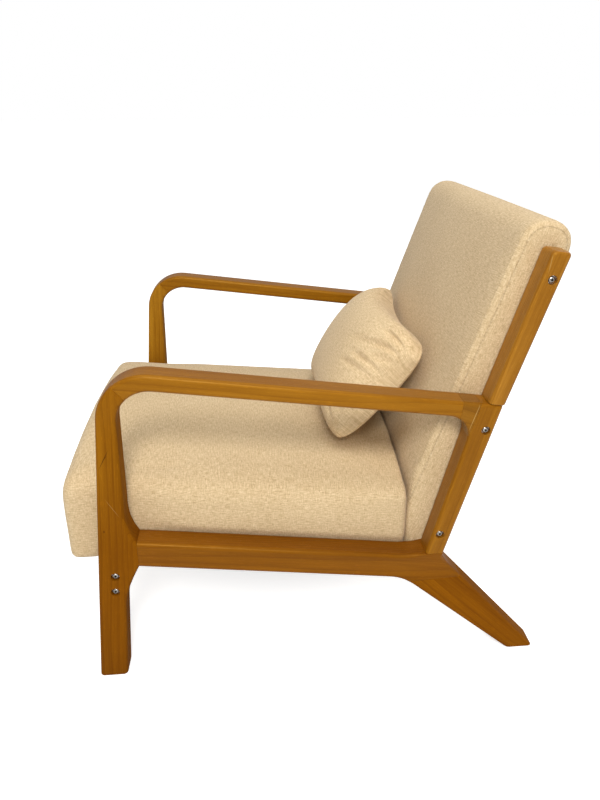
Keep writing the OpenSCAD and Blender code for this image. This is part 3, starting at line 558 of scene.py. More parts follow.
@dataclass(frozen=True)
class Steel:
    """Zinc-plated steel of the fittings.

    Attributes:
        name: the material's name.
        colour: the metal's colour.
        roughness: the least roughness of its plating.
        hollow: name of the attribute that is 1 in a hollow such as a bolt's socket, where shade is painted
            dark, or None.
    """

    name: str
    colour: Triple = (0.66, 0.66, 0.68)
    roughness: float = 0.24
    hollow: Optional[str] = None

    def material(self) -> Material:
        """Builds the material: bright metal whose plating is slightly clouded.

        Returns:
            The material.
        """
        shader = Shader(self.name)
        here = shader.here()
        cloud = shader.noise(here, (420, 420, 420), 3.0, 0.6)
        colour = shader.mix(cloud * 0.5, (*self.colour, 1.0), (*(0.72 * c for c in self.colour), 1.0))
        if self.hollow is not None:
            # Painted shade: the hollow of the socket is drawn dark.
            colour = shader.mix(shader.attribute(self.hollow), colour, (0.09, 0.08, 0.07, 1.0))
        return shader.finish(
            Base_Color=colour, Metallic=1.0, Roughness=cloud * 0.18 + self.roughness,
            Normal=shader.bump(cloud, 0.00008, 0.4))


@dataclass(frozen=True)
class DarkCloth:
    """Black woven webbing, or the felted cloth under the seat."""

    name: str
    pitch: float = 0.0024

    def material(self) -> Material:
        """Builds the material: crossing ribs on the object's own coordinates.

        Returns:
            The material.
        """
        shader = Shader(self.name)
        here = shader.here()
        x, y, _ = shader.split(here)
        ribs = abs((x * (math.pi / self.pitch)).math("SINE")) * abs((y * (math.pi / self.pitch)).math("SINE"))
        fuzz = shader.noise(here, (600, 600, 600), 2.0)
        colour = shader.ramp(ribs * 0.6 + fuzz * 0.4, WEBBING_STOPS)
        return shader.finish(Base_Color=colour, Roughness=0.88, Normal=shader.bump(ribs, 0.0006, 0.6))


# ---------------------------------------------------------------- mesh helpers


def signed_volume(points: Array, faces: Array) -> float:
    """Volume inside a closed shell of triangles or quads, positive if its faces point outwards.

    Args:
        points: places of the corners.
        faces: the faces, by numbers of points.

    Returns:
        The volume.
    """
    a, b, c = (points[faces[:, i]] for i in range(3))
    total = np.einsum("ij,ij->i", a, np.cross(b, c)).sum()
    if faces.shape[1] == 4:
        d = points[faces[:, 3]]
        total += np.einsum("ij,ij->i", a, np.cross(c, d)).sum()
    return float(total) / 6


def tube_faces(rings: int, around: int) -> Array:
    """Quads over a stack of closed rings that have the same number of points.

    Args:
        rings: number of rings.
        around: points on each ring.

    Returns:
        Array of (quads, 4).
    """
    row = np.arange(rings - 1)[:, None] * around
    here = np.arange(around)[None, :]
    ahead = (here + 1) % around
    quads = np.stack([row + here, row + ahead, row + around + ahead, row + around + here], axis=-1)
    return quads.reshape(-1, 4)


def capped(rings: Array) -> tuple[Array, Array, Array]:
    """Closes a stack of rings by a fan over each end, with all faces turned outwards.

    Args:
        rings: array of (rings, points around, 3) in metres.

    Returns:
        The points, the quads between the rings and the triangles of the fans.
    """
    count, around, _ = rings.shape
    points = np.concatenate([rings.reshape(-1, 3), rings[:1].mean(axis=1), rings[-1:].mean(axis=1)])
    sides = tube_faces(count, around)
    here = np.arange(around)
    ahead = (here + 1) % around
    low = np.stack([np.full(around, count * around), ahead, here], axis=-1)
    top = (count - 1) * around
    high = np.stack([np.full(around, count * around + 1), top + here, top + ahead], axis=-1)
    ends = np.concatenate([low, high])
    if signed_volume(points, sides) + signed_volume(points, ends) < 0:
        sides, ends = sides[:, ::-1], ends[:, ::-1]
    return points, sides, ends


def shade(mesh: Mesh, sharp: float) -> None:
    """Shades a mesh smoothly but for edges above an angle in degrees."""
    mesh.shade_smooth()
    mesh.set_sharp_from_angle(angle=math.radians(sharp))


def new_piece(name: str, points: Array, faces: Sequence[Array],
              sharp: float = SHARP) -> Piece:
    """Makes an object at the origin from points and faces.

    Args:
        name: the object's name.
        points: places in metres.
        faces: arrays of faces, one for each number of corners.
        sharp: angle in degrees above which an edge is drawn sharp.

    Returns:
        The object, smooth shaded.
    """
    mesh = bpy.data.meshes.new(name)
    mesh.from_pydata(points.tolist(), [], [face for group in faces for face in group.tolist()])
    mesh.validate()
    mesh.update()
    shade(mesh, sharp)
    piece = bpy.data.objects.new(name, mesh)
    bpy.context.scene.collection.objects.link(piece)
    return piece


def closed_stack(name: str, rings: Array, sharp: float = SHARP) -> Piece:
    """Makes a closed piece from a stack of rings, in metres."""
    points, sides, ends = capped(rings)
    return new_piece(name, points, [sides, ends], sharp)


def baked(piece: Piece) -> None:
    """Applies a piece's modifiers to its mesh.

    Args:
        piece: the object.
    """
    bpy.context.view_layer.update()
    depsgraph = bpy.context.evaluated_depsgraph_get()
    mesh = bpy.data.meshes.new_from_object(piece.evaluated_get(depsgraph))
    old = piece.data
    piece.modifiers.clear()
    piece.data = mesh
    bpy.data.meshes.remove(old)


def fetched(items: Any, name: str, width: int = 1, kind: Any = float) -> Array:
    """Reads one property of all items of a mesh's collection.

    Args:
        items: the collection.
        name: the property.
        width: how many numbers each item has.
        kind: their type.

    Returns:
        Array with one number for each item, or one row where they have more.
    """
    values = np.empty(len(items) * width, dtype=kind)
    items.foreach_get(name, values)
    return values.reshape(-1, width) if width > 1 else values


def coordinates(mesh: Mesh) -> Array:
    """A mesh's vertices as an array of (vertices, 3)."""
    return fetched(mesh.vertices, "co", 3)


def set_coordinates(mesh: Mesh, points: Array) -> None:
    """Moves a mesh's vertices."""
    mesh.vertices.foreach_set("co", points.ravel())
    mesh.update()


def face_corners(mesh: Mesh) -> Array:
    """The vertex at each face corner of a mesh."""
    return fetched(mesh.loops, "vertex_index", kind=np.int32)


def lay_threads(mesh: Mesh, uv: Array) -> None:
    """Stores the weave's map, one row in metres for each face corner."""
    mesh.uv_layers.new(name="weave").data.foreach_set("uv", uv.astype(np.float32).ravel())


def mark(piece: Piece, name: str, values: Array) -> None:
    """Stores one number for each vertex of a piece."""
    piece.data.attributes.new(name, "FLOAT", "POINT").data.foreach_set("value", values.astype(np.float32))


def marked(mesh: Mesh, name: str) -> Array:
    """The numbers that mark stored on a mesh, one for each vertex."""
    return fetched(mesh.attributes[name].data, "value", kind=np.float32).astype(float)


def dress(piece: Piece, material: Material, slot: str, *nodes: str) -> None:
    """Gives a piece its material, hangs it under the root and hides the model's nodes that it replaces.

    Args:
        piece: the object.
        material: its finish.
        slot: the record's material slot; not used.
        nodes: the model's nodes that it replaces.
    """
    piece.data.materials.clear()
    piece.data.materials.append(material)
    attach(piece, "root")
    if nodes:
        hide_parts(*nodes)
    log.info("%s: %d faces", piece.name, len(piece.data.polygons))


def ease(values: Array, low: float, high: float) -> Array:
    """0 below low and 1 above high, with a smooth run between them."""
    share = np.clip((values - low) / (high - low), 0, 1)
    return share * share * (3 - 2 * share)


# ---------------------------------------------------------------- side view of the timber


def heading(angle: float) -> Array:
    """Unit vector of the side view at an angle in degrees from rearwards towards up."""
    return np.array([math.cos(math.radians(angle)), math.sin(math.radians(angle))])


def crossing(p: Array, a: float, q: Array, b: float) -> Array:
    """Crossing of the line through p along angle a and the line through q along angle b."""
    da, db, gap = heading(a), heading(b), np.asarray(q, float) - p
    return p + da * (gap[0] * db[1] - gap[1] * db[0]) / (da[0] * db[1] - da[1] * db[0])


def arc(corner: Array, a0: float, a1: float, radius: float, share: Array) -> Array:
    """Points of the arc that rounds a clockwise corner from direction a0 to direction a1.

    Args:
        corner: the sharp corner.
        a0: direction before the corner, in degrees.
        a1: direction after it.
        radius: radius of the arc.
        share: how far along the arc each point is, from 0 to 1.

    Returns:
        Points, one row for each share.
    """
    start = corner - radius * math.tan(math.radians((a0 - a1) / 2)) * heading(a0)
    centre = start + radius * heading(a0 - 90)
    angle = np.radians(a0 + (a1 - a0) * np.asarray(share, float))
    return centre + radius * np.stack([-np.sin(angle), np.cos(angle)], axis=-1)


def between(a: Array, b: Array, share: Array) -> Array:
    """Points of the straight line from a to b."""
    share = np.asarray(share, float).reshape(-1, 1)
    return np.asarray(a, float) * (1 - share) + np.asarray(b, float) * share


def quarter(count: int) -> tuple[Array, Array]:
    """Points of a quarter turn: 1 less the cosine, which grows, and 1 less the sine, which falls."""
    turn = np.radians(np.linspace(0, 90, count))
    return 1 - np.cos(turn), 1 - np.sin(turn)


@dataclass
class SideView:
    """Lines of a side frame and of the cushions in the side view, as the part's source has them.

    Lengths are in millimetres and angles in degrees. "lean" is counted from upright, "fall" and
    "rise" from level. The shares block_start, block_end and rump_joint run along an arc.
    """

    overall_w: float = 649
    timber_t: float = 44
    edge_r: float = 6.5
    flush_r: float = 0.5
    leg_lean: float = 5.3
    leg_foot_d: float = 48
    leg_knee_d: float = 45.5
    leg_joint_d: float = 64
    leg_neck_d: float = 42.5
    leg_top_d: float = 31
    flare_low_h: float = 80
    flare_high_h: float = 68
    arm_h: float = 591
    arm_fall: float = 7.7
    arm_d: float = 27.5
    bend_outer_r: float = 78
    bend_inner_r: float = 52
    block_len: float = 66
    block_share: float = 0.55
    gusset_r: float = 37
    rail_h: float = 288
    rail_d: float = 48
    rail_fall: float = 7.1
    rail_level_ahead: float = 9.2
    post_y: float = 543.2
    low_post_lean: float = 16
    post_foot_d: float = 31.5
    post_front_lean: float = 14.4
    high_post_foot_d: float = 27
    high_post_top_d: float = 31
    high_post_drop: float = 27.3
    heel_reach: float = 246.8
    heel_d: float = 50.5
    heel_back_rise: float = 48.7
    heel_front_rise: float = 40.7
    rump_r: float = 80
    kink_drop: float = 5.5
    kink_ease: float = 16
    rump_joint: float = 0.7
    joint_rise: float = 5
    block_start: float = 0.28
    block_end: float = 0.86
    back_lean: float = 17.8
    back_behind: float = 7.3
    back_len: float = 808
    seat_rise: float = 85
    seat_fall: float = 5.3
    seat_behind: float = 5.3
    seat_crown: float = 24
    back_top_t: float = 84
    back_taper: float = 0.032
    back_crown: float = 16
    cross_rail_drop: float = 75
    leg_bolt_rise: float = 16
    leg_bolt_gap: float = 31
    leg_bolt_setback: float = 28
    low_bolt_rise: float = 38.7
    mid_bolt_drop: float = 43
    top_bolt_drop: float = 82
    post_bolt_depth: float = 35

    def __post_init__(self) -> None:
        """Works out the corners and joints that the sizes lead to."""
        self.mid_y = 4 * math.tan(math.radians(self.leg_lean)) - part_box("front_leg_left")[0][1] / MM
        self.side_x = self.overall_w / 2 - self.timber_t / 2
        self.cushion_w = self.overall_w - 2 * self.timber_t
        self.back_foot_y = self.post_y + self.back_behind
        self.seat_rear_y = self.post_y + self.seat_behind
        self.seat_edge_h = self.rail_h + self.seat_rise
        self.heel_y = self.post_y + self.heel_reach
        self.rail_level_y = self.post_y - self.rail_level_ahead
        self.high_post_h = self.back_len * math.cos(math.radians(self.back_lean)) - self.high_post_drop
        self.joint_y = self.leg_joint_d + (self.rail_h - self.rail_d / 2) * self.slope(self.leg_lean)
        self.joint_low = float(self.rail_under(self.joint_y)[1])
        self.joint_high = float(self.rail_top(self.joint_y)[1])
        self.knee_z = self.joint_low - self.flare_low_h
        self.neck_z = self.joint_high + self.flare_high_h
        self.outer_corner = crossing(np.zeros(2), 90 - self.leg_lean, (0, self.arm_h), -self.arm_fall)
        self.neck = self.leg_rear(self.neck_z)
        half_turn = math.tan(math.radians((90 - self.leg_lean + self.arm_fall) / 2))
        top_z = self.outer_corner[1] - self.bend_outer_r * half_turn
        rise = self.leg_front(top_z) + (self.leg_top_d, 0) - self.neck
        self.inner_angle = math.degrees(math.atan2(rise[1], rise[0]))
        self.inner_corner = crossing(self.neck, self.inner_angle, self.arm_under(0), -self.arm_fall)
        self.arm_end = crossing((0, self.arm_h), -self.arm_fall, (self.post_y, 0), 90 - self.low_post_lean)
        self.arm_reach = self.arm_end[0]
        foot_z = float(self.rail_top(self.rail_level_y)[1])
        self.kink_h = foot_z - self.kink_drop
        self.post_foot_rear = self.post_rear(foot_z)
        self.post_foot_front = self.post_foot_rear - (self.post_foot_d, 0)
        self.gusset_corner = crossing(self.arm_under(0), -self.arm_fall,
                                      self.post_foot_front, 90 - self.post_front_lean)
        self.arm_joint_y = self.arm_reach - self.block_len
        self.block_top_y = self.arm_reach - self.block_share * self.block_len
        self.rump_corner = crossing(self.rail_under(0), -self.rail_fall,
                                    (self.heel_y - self.heel_d, 0), 180 - self.heel_front_rise)
        self.kink = self.post_rear(self.kink_h)
        self.leg_joint_z = float(self.rump(self.rump_joint)[1])
        self.heel_top = self.heel_back(self.leg_joint_z + self.joint_rise)

    @staticmethod
    def slope(angle: float) -> float:
        """Tangent of an angle in degrees."""
        return math.tan(math.radians(angle))

    @staticmethod
    def pair(y: Any, z: Any) -> Array:
        """Side-view points from their two coordinates."""
        y, z = np.broadcast_arrays(np.asarray(y, float), np.asarray(z, float))
        return np.stack([y, z], axis=-1)

    def place(self, x: Any, points: Array) -> Array:
        """Side-view points at distance x to the left, in metres in the frame."""
        x, y, z = np.broadcast_arrays(x, points[..., 0] - self.mid_y, points[..., 1])
        return np.stack([x, y, z], axis=-1) * MM

    def leg_front(self, z: Any) -> Array:
        """Front edge of the front leg."""
        return self.pair(z * self.slope(self.leg_lean), z)

    def leg_rear(self, z: Any) -> Array:
        """Rear edge of the front leg: a taper, and a square-law flare on each side of the rail.

        Args:
            z: heights.

        Returns:
            Side-view points.
        """
        z = np.asarray(z, float)
        front = z * self.slope(self.leg_lean)
        foot = front + self.leg_foot_d + (self.leg_knee_d - self.leg_foot_d) * z / self.knee_z
        up = np.clip((z - self.knee_z) / self.flare_low_h, 0, 1) ** 2
        low = front + self.leg_knee_d + (self.joint_y - front - self.leg_knee_d) * up
        down = np.clip((self.neck_z - z) / self.flare_high_h, 0, 1) ** 2
        high = front + self.leg_neck_d + (self.joint_y - front - self.leg_neck_d) * down
        y = np.where(z <= self.knee_z, foot, np.where(
            z <= self.joint_low, low, np.where(z <= self.joint_high, self.joint_y, high)))
        return self.pair(y, z)

    def arm_top(self, y: Any) -> Array:
        """Top edge of the arm."""
        return self.pair(y, self.arm_h - y * self.slope(self.arm_fall))

    def arm_under(self, y: Any) -> Array:
        """Under edge of the arm."""
        return self.arm_top(y) - (0, self.arm_d / math.cos(math.radians(self.arm_fall)))

    def rail_top(self, y: Any) -> Array:
        """Top edge of the side rail."""
        return self.pair(y, self.rail_h - y * self.slope(self.rail_fall))

    def rail_under(self, y: Any) -> Array:
        """Under edge of the side rail."""
        return self.rail_top(y) - (0, self.rail_d)

    def post_rear(self, z: Any) -> Array:
        """Rear edge of the lower post."""
        return self.pair(self.post_y + z * self.slope(self.low_post_lean), z)

    def heel_back(self, z: Any) -> Array:
        """Back edge of the rear leg."""
        return self.pair(self.heel_y - z / self.slope(self.heel_back_rise), z)

    def heel_front(self, z: Any) -> Array:
        """Front edge of the rear leg."""
        return self.pair(self.heel_y - self.heel_d - z / self.slope(self.heel_front_rise), z)

    def outer_bend(self, share: Any) -> Array:
        """Outer arc of the front bend."""
        return arc(self.outer_corner, 90 - self.leg_lean, -self.arm_fall, self.bend_outer_r, share)

    def inner_bend(self, share: Any) -> Array:
        """Inner arc of the front bend."""
        return arc(self.inner_corner, self.inner_angle, -self.arm_fall, self.bend_inner_r, share)

    def gusset(self, share: Any) -> Array:
        """Arc under the arm where it meets the rear post."""
        return arc(self.gusset_corner, -self.arm_fall, -90 - self.post_front_lean, self.gusset_r, share)

    def rump(self, share: Any) -> Array:
        """Arc under the rail where the rear leg begins."""
        return arc(self.rump_corner, -self.rail_fall, -self.heel_front_rise, self.rump_r, share)

    def leg_bolts(self) -> Array:
        """Places of the bolts through a front leg."""
        low = self.rail_h - self.rail_d - self.cross_rail_drop + self.leg_bolt_rise
        return self.leg_front(low + np.array([0, self.leg_bolt_gap])) + (self.leg_bolt_setback, 0)

    def post_bolts(self) -> Array:
        """Places of the two bolts through the lower post and of the one through the upper post.

        Returns:
            Side-view points, from the lowest up.
        """
        lean = math.radians(self.back_lean)
        heights = np.array([self.post_foot_rear[1] + self.low_bolt_rise,
                            self.arm_end[1] - self.mid_bolt_drop])
        along = (heights - self.post_bolt_depth * math.sin(lean)) / math.cos(lean)
        return self.back_at([*along, self.back_len - self.top_bolt_drop], self.post_bolt_depth)

    def back_at(self, u: Any, d: Any) -> Array:
        """Point at height u along the back's rear face and depth d in front of it.

        Args:
            u: heights along the rear face.
            d: depths in front of it.

        Returns:
            Side-view points.
        """
        lean = math.radians(self.back_lean)
        u, d = np.asarray(u, float), np.asarray(d, float)
        return self.pair(self.back_foot_y + u * math.sin(lean) - d * math.cos(lean),
                         u * math.cos(lean) + d * math.sin(lean))

    def back_from(self, points: Array) -> tuple[Array, Array]:
        """Height u along the back's rear face and depth d in front of it, for side-view points.

        Args:
            points: side-view points, in the last axis.

        Returns:
            The heights and the depths.
        """
        lean = math.radians(self.back_lean)
        y, z = points[..., 0] - self.back_foot_y, points[..., 1]
        return y * math.sin(lean) + z * math.cos(lean), z * math.sin(lean) - y * math.cos(lean)

    def back_thick(self, u: Any) -> Any:
        """Thickness of the back beside its crown, at height u."""
        return self.back_top_t + (self.back_len - u) * self.back_taper

    def seat_top(self, y: Any) -> Any:
        """Height of the seat's top beside its crown."""
        return self.seat_edge_h - y * self.slope(self.seat_fall)


@dataclass
class Rungs:
    """Sections of a timber piece: each is a rectangle with rounded corners from front to rear.

    Attributes:
        rows: for each section the front point, the rear point, the radius along the front edges,
            the one along the rear edges, and how much its two broad faces are drawn in.
        steps: points on each rounded corner, less one.
        near: distance of a flat's outer points from its ends.
    """

    rows: list[Array] = field(default_factory=list)
    steps: int = 9
    near: float = 1.2

    def add(self, front: Array, rear: Array, front_r: Any, rear_r: Any, inset: Any = 0.0) -> "Rungs":
        """Adds sections.

        Args:
            front: front or top edge points in the side view.
            rear: rear or under edge points.
            front_r: radius along the front edges, one number or one for each section.
            rear_r: radius along the rear edges.
            inset: how much each section is narrowed on its two broad faces.

        Returns:
            The same rungs.
        """
        front, rear = np.atleast_2d(front), np.atleast_2d(rear)
        count = max(len(front), len(rear))
        parts = [np.broadcast_to(edge, (count, 2)) for edge in (front, rear)]
        parts += [np.broadcast_to(value, count)[:, None] for value in (front_r, rear_r, inset)]
        self.rows.append(np.hstack(parts))
        return self

    def rings(self, view: SideView, x: float) -> Array:
        """Section outlines in metres.

        Each corner is a quarter circle. Two points stand close to each end of a flat, so that
        its shading stays flat.

        Args:
            view: the side view.
            x: distance of the piece's middle to the left.

        Returns:
            Array of (sections, points around, 3).
        """
        rows = np.concatenate(self.rows)
        front, rear, near = rows[:, :2], rows[:, 2:4], self.near
        depth = np.linalg.norm(rear - front, axis=1, keepdims=True)
        half = view.timber_t / 2 - rows[:, 6:]
        limit = np.minimum(depth / 2, half) - 0.3
        front_r, rear_r = np.minimum(rows[:, 4:5], limit), np.minimum(rows[:, 5:6], limit)
        (out, back), zero = quarter(self.steps + 1), np.zeros_like(half)
        s_half = np.hstack([front_r * out, front_r + near, depth / 2,
                            depth - rear_r - near, depth - rear_r * back])
        x_half = np.hstack([half - front_r * back, half, half, half, half - rear_r * out])
        s = np.hstack([s_half, depth, depth, depth, s_half[:, ::-1], zero, zero, zero])
        wide = np.hstack([x_half, half - rear_r - near, zero, rear_r + near - half,
                          -x_half[:, ::-1], front_r + near - half, zero, half - front_r - near])
        points = front[:, None, :] + ((rear - front) / depth)[:, None, :] * s[:, :, None]
        rings = view.place(x + wide, points)
        first, last = self.chamfer(rings[0], rings[1]), self.chamfer(rings[-1], rings[-2])
        return np.concatenate([first, rings[1:-1], last[::-1]])

    @staticmethod
    def chamfer(end: Array, inner: Array, size: float = 0.0005) -> Array:
        """A piece's last section drawn in, and the full one just inside it.

        Args:
            end: the last section.
            inner: the section before it, which gives the direction.
            size: width and depth of the eased edge, in metres.

        Returns:
            The two sections, the drawn-in one first.
        """
        run = inner - end
        centre = end.mean(axis=0)
        pull = (centre - end) / np.linalg.norm(centre - end, axis=1, keepdims=True)
        return np.stack([end + pull * size, end + run / np.linalg.norm(run, axis=1, keepdims=True) * size])


@dataclass
class Bolt:
    """Domed bolt head with a hexagon socket, in its counterbore.

    Attributes:
        head_d: diameter of the head.
        head_h: height of the head.
        socket_af: size of the socket across its flats.
        shank_d: diameter of the shank.
        floor: distance of the head's seat below the timber's outer face.
        socket_rows: number of rings that lie inside the socket.
        dome_from: how far down the dome's sine curve its flat top ends, in degrees.
        around: points on each ring.
    """

    head_d: float = 11
    head_h: float = 3.6
    socket_af: float = 4
    shank_d: float = 6
    floor: float = 5.8
    socket_rows: int = 4
    dome_from: float = 62
    around: int = 72

    def grid(self, length: float) -> Array:
        """Rings of a bolt whose seat is at 0 and whose head points to +1.

        Each ring is a radius that may change round it, and a height: down the socket as a
        hexagon, over the dome as a circle whose height follows a sine, and down the shank.

        Args:
            length: length of the shank.

        Returns:
            Array of (rings, points around, 3) in millimetres.
        """
        angle = np.linspace(0, 2 * math.pi, self.around, endpoint=False)
        hexagon = self.socket_af / 2 / np.cos((angle + math.pi / 6) % (math.pi / 3) - math.pi / 6)
        circle, edge, high = np.ones_like(angle), self.head_d / 2, self.head_h
        rows = [(hexagon * 0.5, 0.22 * high), (hexagon * 0.97, 0.26 * high), (hexagon, 0.30 * high),
                (hexagon, 0.95 * high), (hexagon * 1.04, high), (circle * self.head_d * 0.29, high)]
        for turn in np.radians(np.linspace(self.dome_from, 0, 10)):
            share = 0.25 + 0.75 * math.sin(turn) / math.sin(math.radians(self.dome_from))
            rows.append((circle * edge * math.cos(turn) ** 0.85, high * share))
        rows += [(circle * edge, 0.12 * high), (circle * (edge - 0.3), 0.0),
                 (circle * self.shank_d / 2, 0.0), (circle * self.shank_d / 2, -length)]
        radius = np.stack([r for r, _ in rows])
        height = np.array([h for _, h in rows])[:, None] * circle
        return np.stack([radius * np.cos(angle), radius * np.sin(angle), height], axis=-1)


@dataclass
class SideFrame:
    """The timber pieces of one side frame, with the counterbores for its bolts.

    Attributes:
        view: the side view.
        side: which frame it is.
        counterbore_d: diameter of a counterbore.
        counterbore_h: its depth.
        lip: width of the eased edge at its mouth.
        hole_d: diameter of the hole for the shank.
        foot_ease: width of the eased edge of a foot.
        foot_rise: its height.
        joint_ease: width of the eased edge at the upper post's joint on the arm.
        joint_lift: rearward and upward run of that edge.
        end_ease: width of the eased edge at the upper post's end.
        end_rise: its height.
    """

    view: SideView
    side: Side
    counterbore_d: float = 14.5
    counterbore_h: float = 7
    lip: float = 0.5
    hole_d: float = 7
    foot_ease: float = 3.5
    foot_rise: float = 4
    joint_ease: float = 1.4
    joint_lift: Pair = (0.6, 2.0)
    end_ease: float = 5
    end_rise: float = 7

    @property
    def x(self) -> float:
        """Distance of the frame's middle to the left."""
        return self.side.value * self.view.side_x

    def leg(self) -> Rungs:
        """Front leg from its foot over the two flares to the mitre in the bend.

        Returns:
            The sections.
        """
        v, r, f = self.view, self.view.edge_r, self.view.flush_r
        rungs = self.foot(v.leg_front, v.leg_rear)
        for z, rear_r in (
            (np.linspace(14, v.knee_z, 7), r),
            (v.knee_z + np.linspace(0.06, 1, 14) * v.flare_low_h, r),
            (np.linspace(v.joint_low + 2, v.joint_low + r, 4), np.linspace(0.75 * r, f, 4)),
            (np.linspace(v.joint_high - r, v.joint_high - 2, 4), np.linspace(f, 0.75 * r, 4)),
            (v.joint_high + np.linspace(0, 1, 14) * v.flare_high_h, r),
        ):
            rungs.add(v.leg_front(z), v.leg_rear(z), r, rear_r)
        share = np.linspace(0.15, 0.9, 6)
        rungs.add(between(v.leg_front(v.neck_z), v.outer_bend(0), share),
                  between(v.neck, v.inner_bend(0), share), r, r)
        share = np.linspace(0, 0.5, 12)
        return rungs.add(v.outer_bend(share), v.inner_bend(share), r, r)

    def arm(self) -> Rungs:
        """Arm from the mitre over the long straight to the joint with the corner block.

        Returns:
            The sections.
        """
        v, r = self.view, self.view.edge_r
        share = np.linspace(0.5, 1, 12)
        rungs = Rungs().add(v.outer_bend(share), v.inner_bend(share), r, r)
        top = v.arm_top(v.gusset(0)[0])
        share = np.linspace(0.1, 1, 9)
        rungs.add(between(v.outer_bend(1), top, share), between(v.inner_bend(1), v.gusset(0), share), r, r)
        share = np.linspace(0.15, 1, 7)
        return rungs.add(between(top, v.arm_top(v.arm_joint_y), share), v.gusset(share * v.block_start), r, r)

    def block(self) -> Rungs:
        """Corner block between the arm and the lower post.

        Returns:
            The sections.
        """
        v = self.view
        share = np.linspace(0, 1, 9)
        y = v.arm_joint_y + (v.block_top_y - v.arm_joint_y) * share
        under = v.gusset(v.block_start + (v.block_end - v.block_start) * share)
        return Rungs().add(v.arm_top(y), under, v.edge_r, v.edge_r)

    def low_post(self) -> Rungs:
        """Lower post from the rail to the flat end on the arm's line.

        Returns:
            The sections.
        """
        v, r, f = self.view, self.view.edge_r, self.view.flush_r
        front_top, shoulder = v.gusset(1), v.gusset(v.block_end)
        share = np.linspace(0, 1, 8)
        rear_top = v.post_rear(front_top[1] - 6)
        rungs = Rungs().add(between(v.post_foot_front, front_top, share),
                            between(v.post_foot_rear, rear_top, share), r, r)
        rungs.add(shoulder, v.post_rear(shoulder[1] - 4), r, r)
        top = v.arm_top(v.block_top_y)
        rungs.add(between(shoulder, top, 0.12), v.post_rear(shoulder[1] + 4), f, r)
        down = (shoulder - top) / np.linalg.norm(shoulder - top)
        out, back = quarter(8)
        drop = down * back[:, None] * r
        return rungs.add(top + drop, v.arm_end + drop, f, r, r * out)

    def high_post(self) -> Rungs:
        """Upper post from its eased foot on the arm to its eased end beside the back.

        Returns:
            The sections.
        """
        v, r = self.view, self.view.edge_r
        foot_rear = v.arm_top(v.arm_reach + 2)
        foot_front = v.arm_top(foot_rear[0] - v.high_post_foot_d)
        rise = v.high_post_h - foot_rear[1]
        top_rear = foot_rear + rise * np.array([v.slope(v.back_lean), 1])
        top_front = top_rear + v.high_post_top_d * heading(180 - v.back_lean / 2)
        out, back = quarter(5)
        lift, pull = np.outer(out, self.joint_lift), np.outer(back, (self.joint_ease, 0))
        rungs = Rungs().add(foot_front + lift + pull, foot_rear + lift - pull, r, r, pull[:, 0])
        share = np.linspace(0.06, 0.94, 8)
        rungs.add(between(foot_front, top_front, share), between(foot_rear, top_rear, share), r, r)
        across = (top_front - top_rear) / np.linalg.norm(top_front - top_rear)
        out, back = quarter(8)
        drop = np.outer(-self.end_rise * back, heading(90 - v.back_lean))
        inset = self.end_ease * out
        pull = np.outer(inset, across)
        return rungs.add(top_front + drop - pull, top_rear + drop + pull, r, r, inset)

    def rail(self) -> Rungs:
        """Side rail from the front leg, under the post, to its joint with the rear leg.

        Returns:
            The sections.
        """
        v, r, f = self.view, self.view.edge_r, self.view.flush_r
        level = v.rail_top(v.rail_level_y)
        share = np.linspace(0, 1, 9)
        rungs = Rungs().add(between((v.joint_y, v.joint_high), v.rail_top(v.rump(0)[0]), share),
                            between((v.joint_y, v.joint_low), v.rump(0), share), r, r)
        for top, below, top_r in (
            (level, 0.12, r), (between(level, v.post_foot_front, 0.6), 0.24, r), (v.post_foot_front, 0.36, f),
            (v.post_foot_rear - (r, 0), 0.44, f), (v.post_foot_rear, 0.5, r), (v.kink, 0.55, r),
        ):
            rungs.add(top, v.rump(below), top_r, r)
        under = v.heel_back(v.kink_h - v.kink_ease)
        share = np.linspace(0, 1, 4)
        below = 0.59 + (v.rump_joint - 0.59) * share
        return rungs.add(between(under, v.heel_top, share), v.rump(below), r, r)

    def heel(self) -> Rungs:
        """Rear leg from its foot to its joint with the rail.

        Returns:
            The sections.
        """
        v, r = self.view, self.view.edge_r
        rungs = self.foot(v.heel_front, v.heel_back)
        z = np.linspace(16, 120, 8)
        rungs.add(v.heel_front(z), v.heel_back(z), r, r)
        share = np.linspace(1, v.rump_joint, 7)
        front = v.rump(share)
        rise = v.joint_rise * (1 - share) / (1 - v.rump_joint)
        return rungs.add(front, v.heel_back(front[:, 1] + rise), r, r)

    def foot(self, front: Callable, rear: Callable) -> Rungs:
        """Sections of a foot from the floor up, eased at its end by a quarter ellipse.

        Args:
            front: gives front edge points from heights.
            rear: gives rear edge points likewise.

        Returns:
            The sections.
        """
        r = self.view.edge_r
        out, back = quarter(7)
        inset, height = self.foot_ease * back, self.foot_rise * out
        pull = np.outer(inset, (1, 0))
        return Rungs().add(front(height) + pull, rear(height) - pull, r, r, inset)

    def bore(self, piece: Piece, spots: Array) -> None:
        """Cuts counterbores and bolt holes into the outer face of a piece.

        Args:
            piece: the timber.
            spots: side-view points of the bolts.
        """
        turn = np.linspace(0, 2 * math.pi, 64, endpoint=False)
        face = self.x + self.side.value * self.view.timber_t / 2
        wide, lip, narrow, floor = self.counterbore_d / 2, self.lip, self.hole_d / 2, self.counterbore_h
        radius = np.array([wide + lip + 0.5, wide + lip, wide, wide, narrow, narrow])
        depth = np.array([-2, -0.02, lip, floor, floor, self.view.timber_t + 2])
        for spot in spots:
            yz = spot + np.stack([np.cos(turn), np.sin(turn)], axis=-1)[None] * radius[:, None, None]
            cutter = closed_stack("cutter", self.view.place(face - self.side.value * depth[:, None], yz))
            cut = piece.modifiers.new("bore", "BOOLEAN")
            cut.operation, cut.solver, cut.object = "DIFFERENCE", "EXACT", cutter
            baked(piece)
            bpy.data.objects.remove(cutter)
        shade(piece.data, SHARP)

    def at(self, x: float, point: Pair) -> Triple:
        """A side-view point at distance x to the left, in metres."""
        return tuple(self.view.place(x, np.array(point, float)))

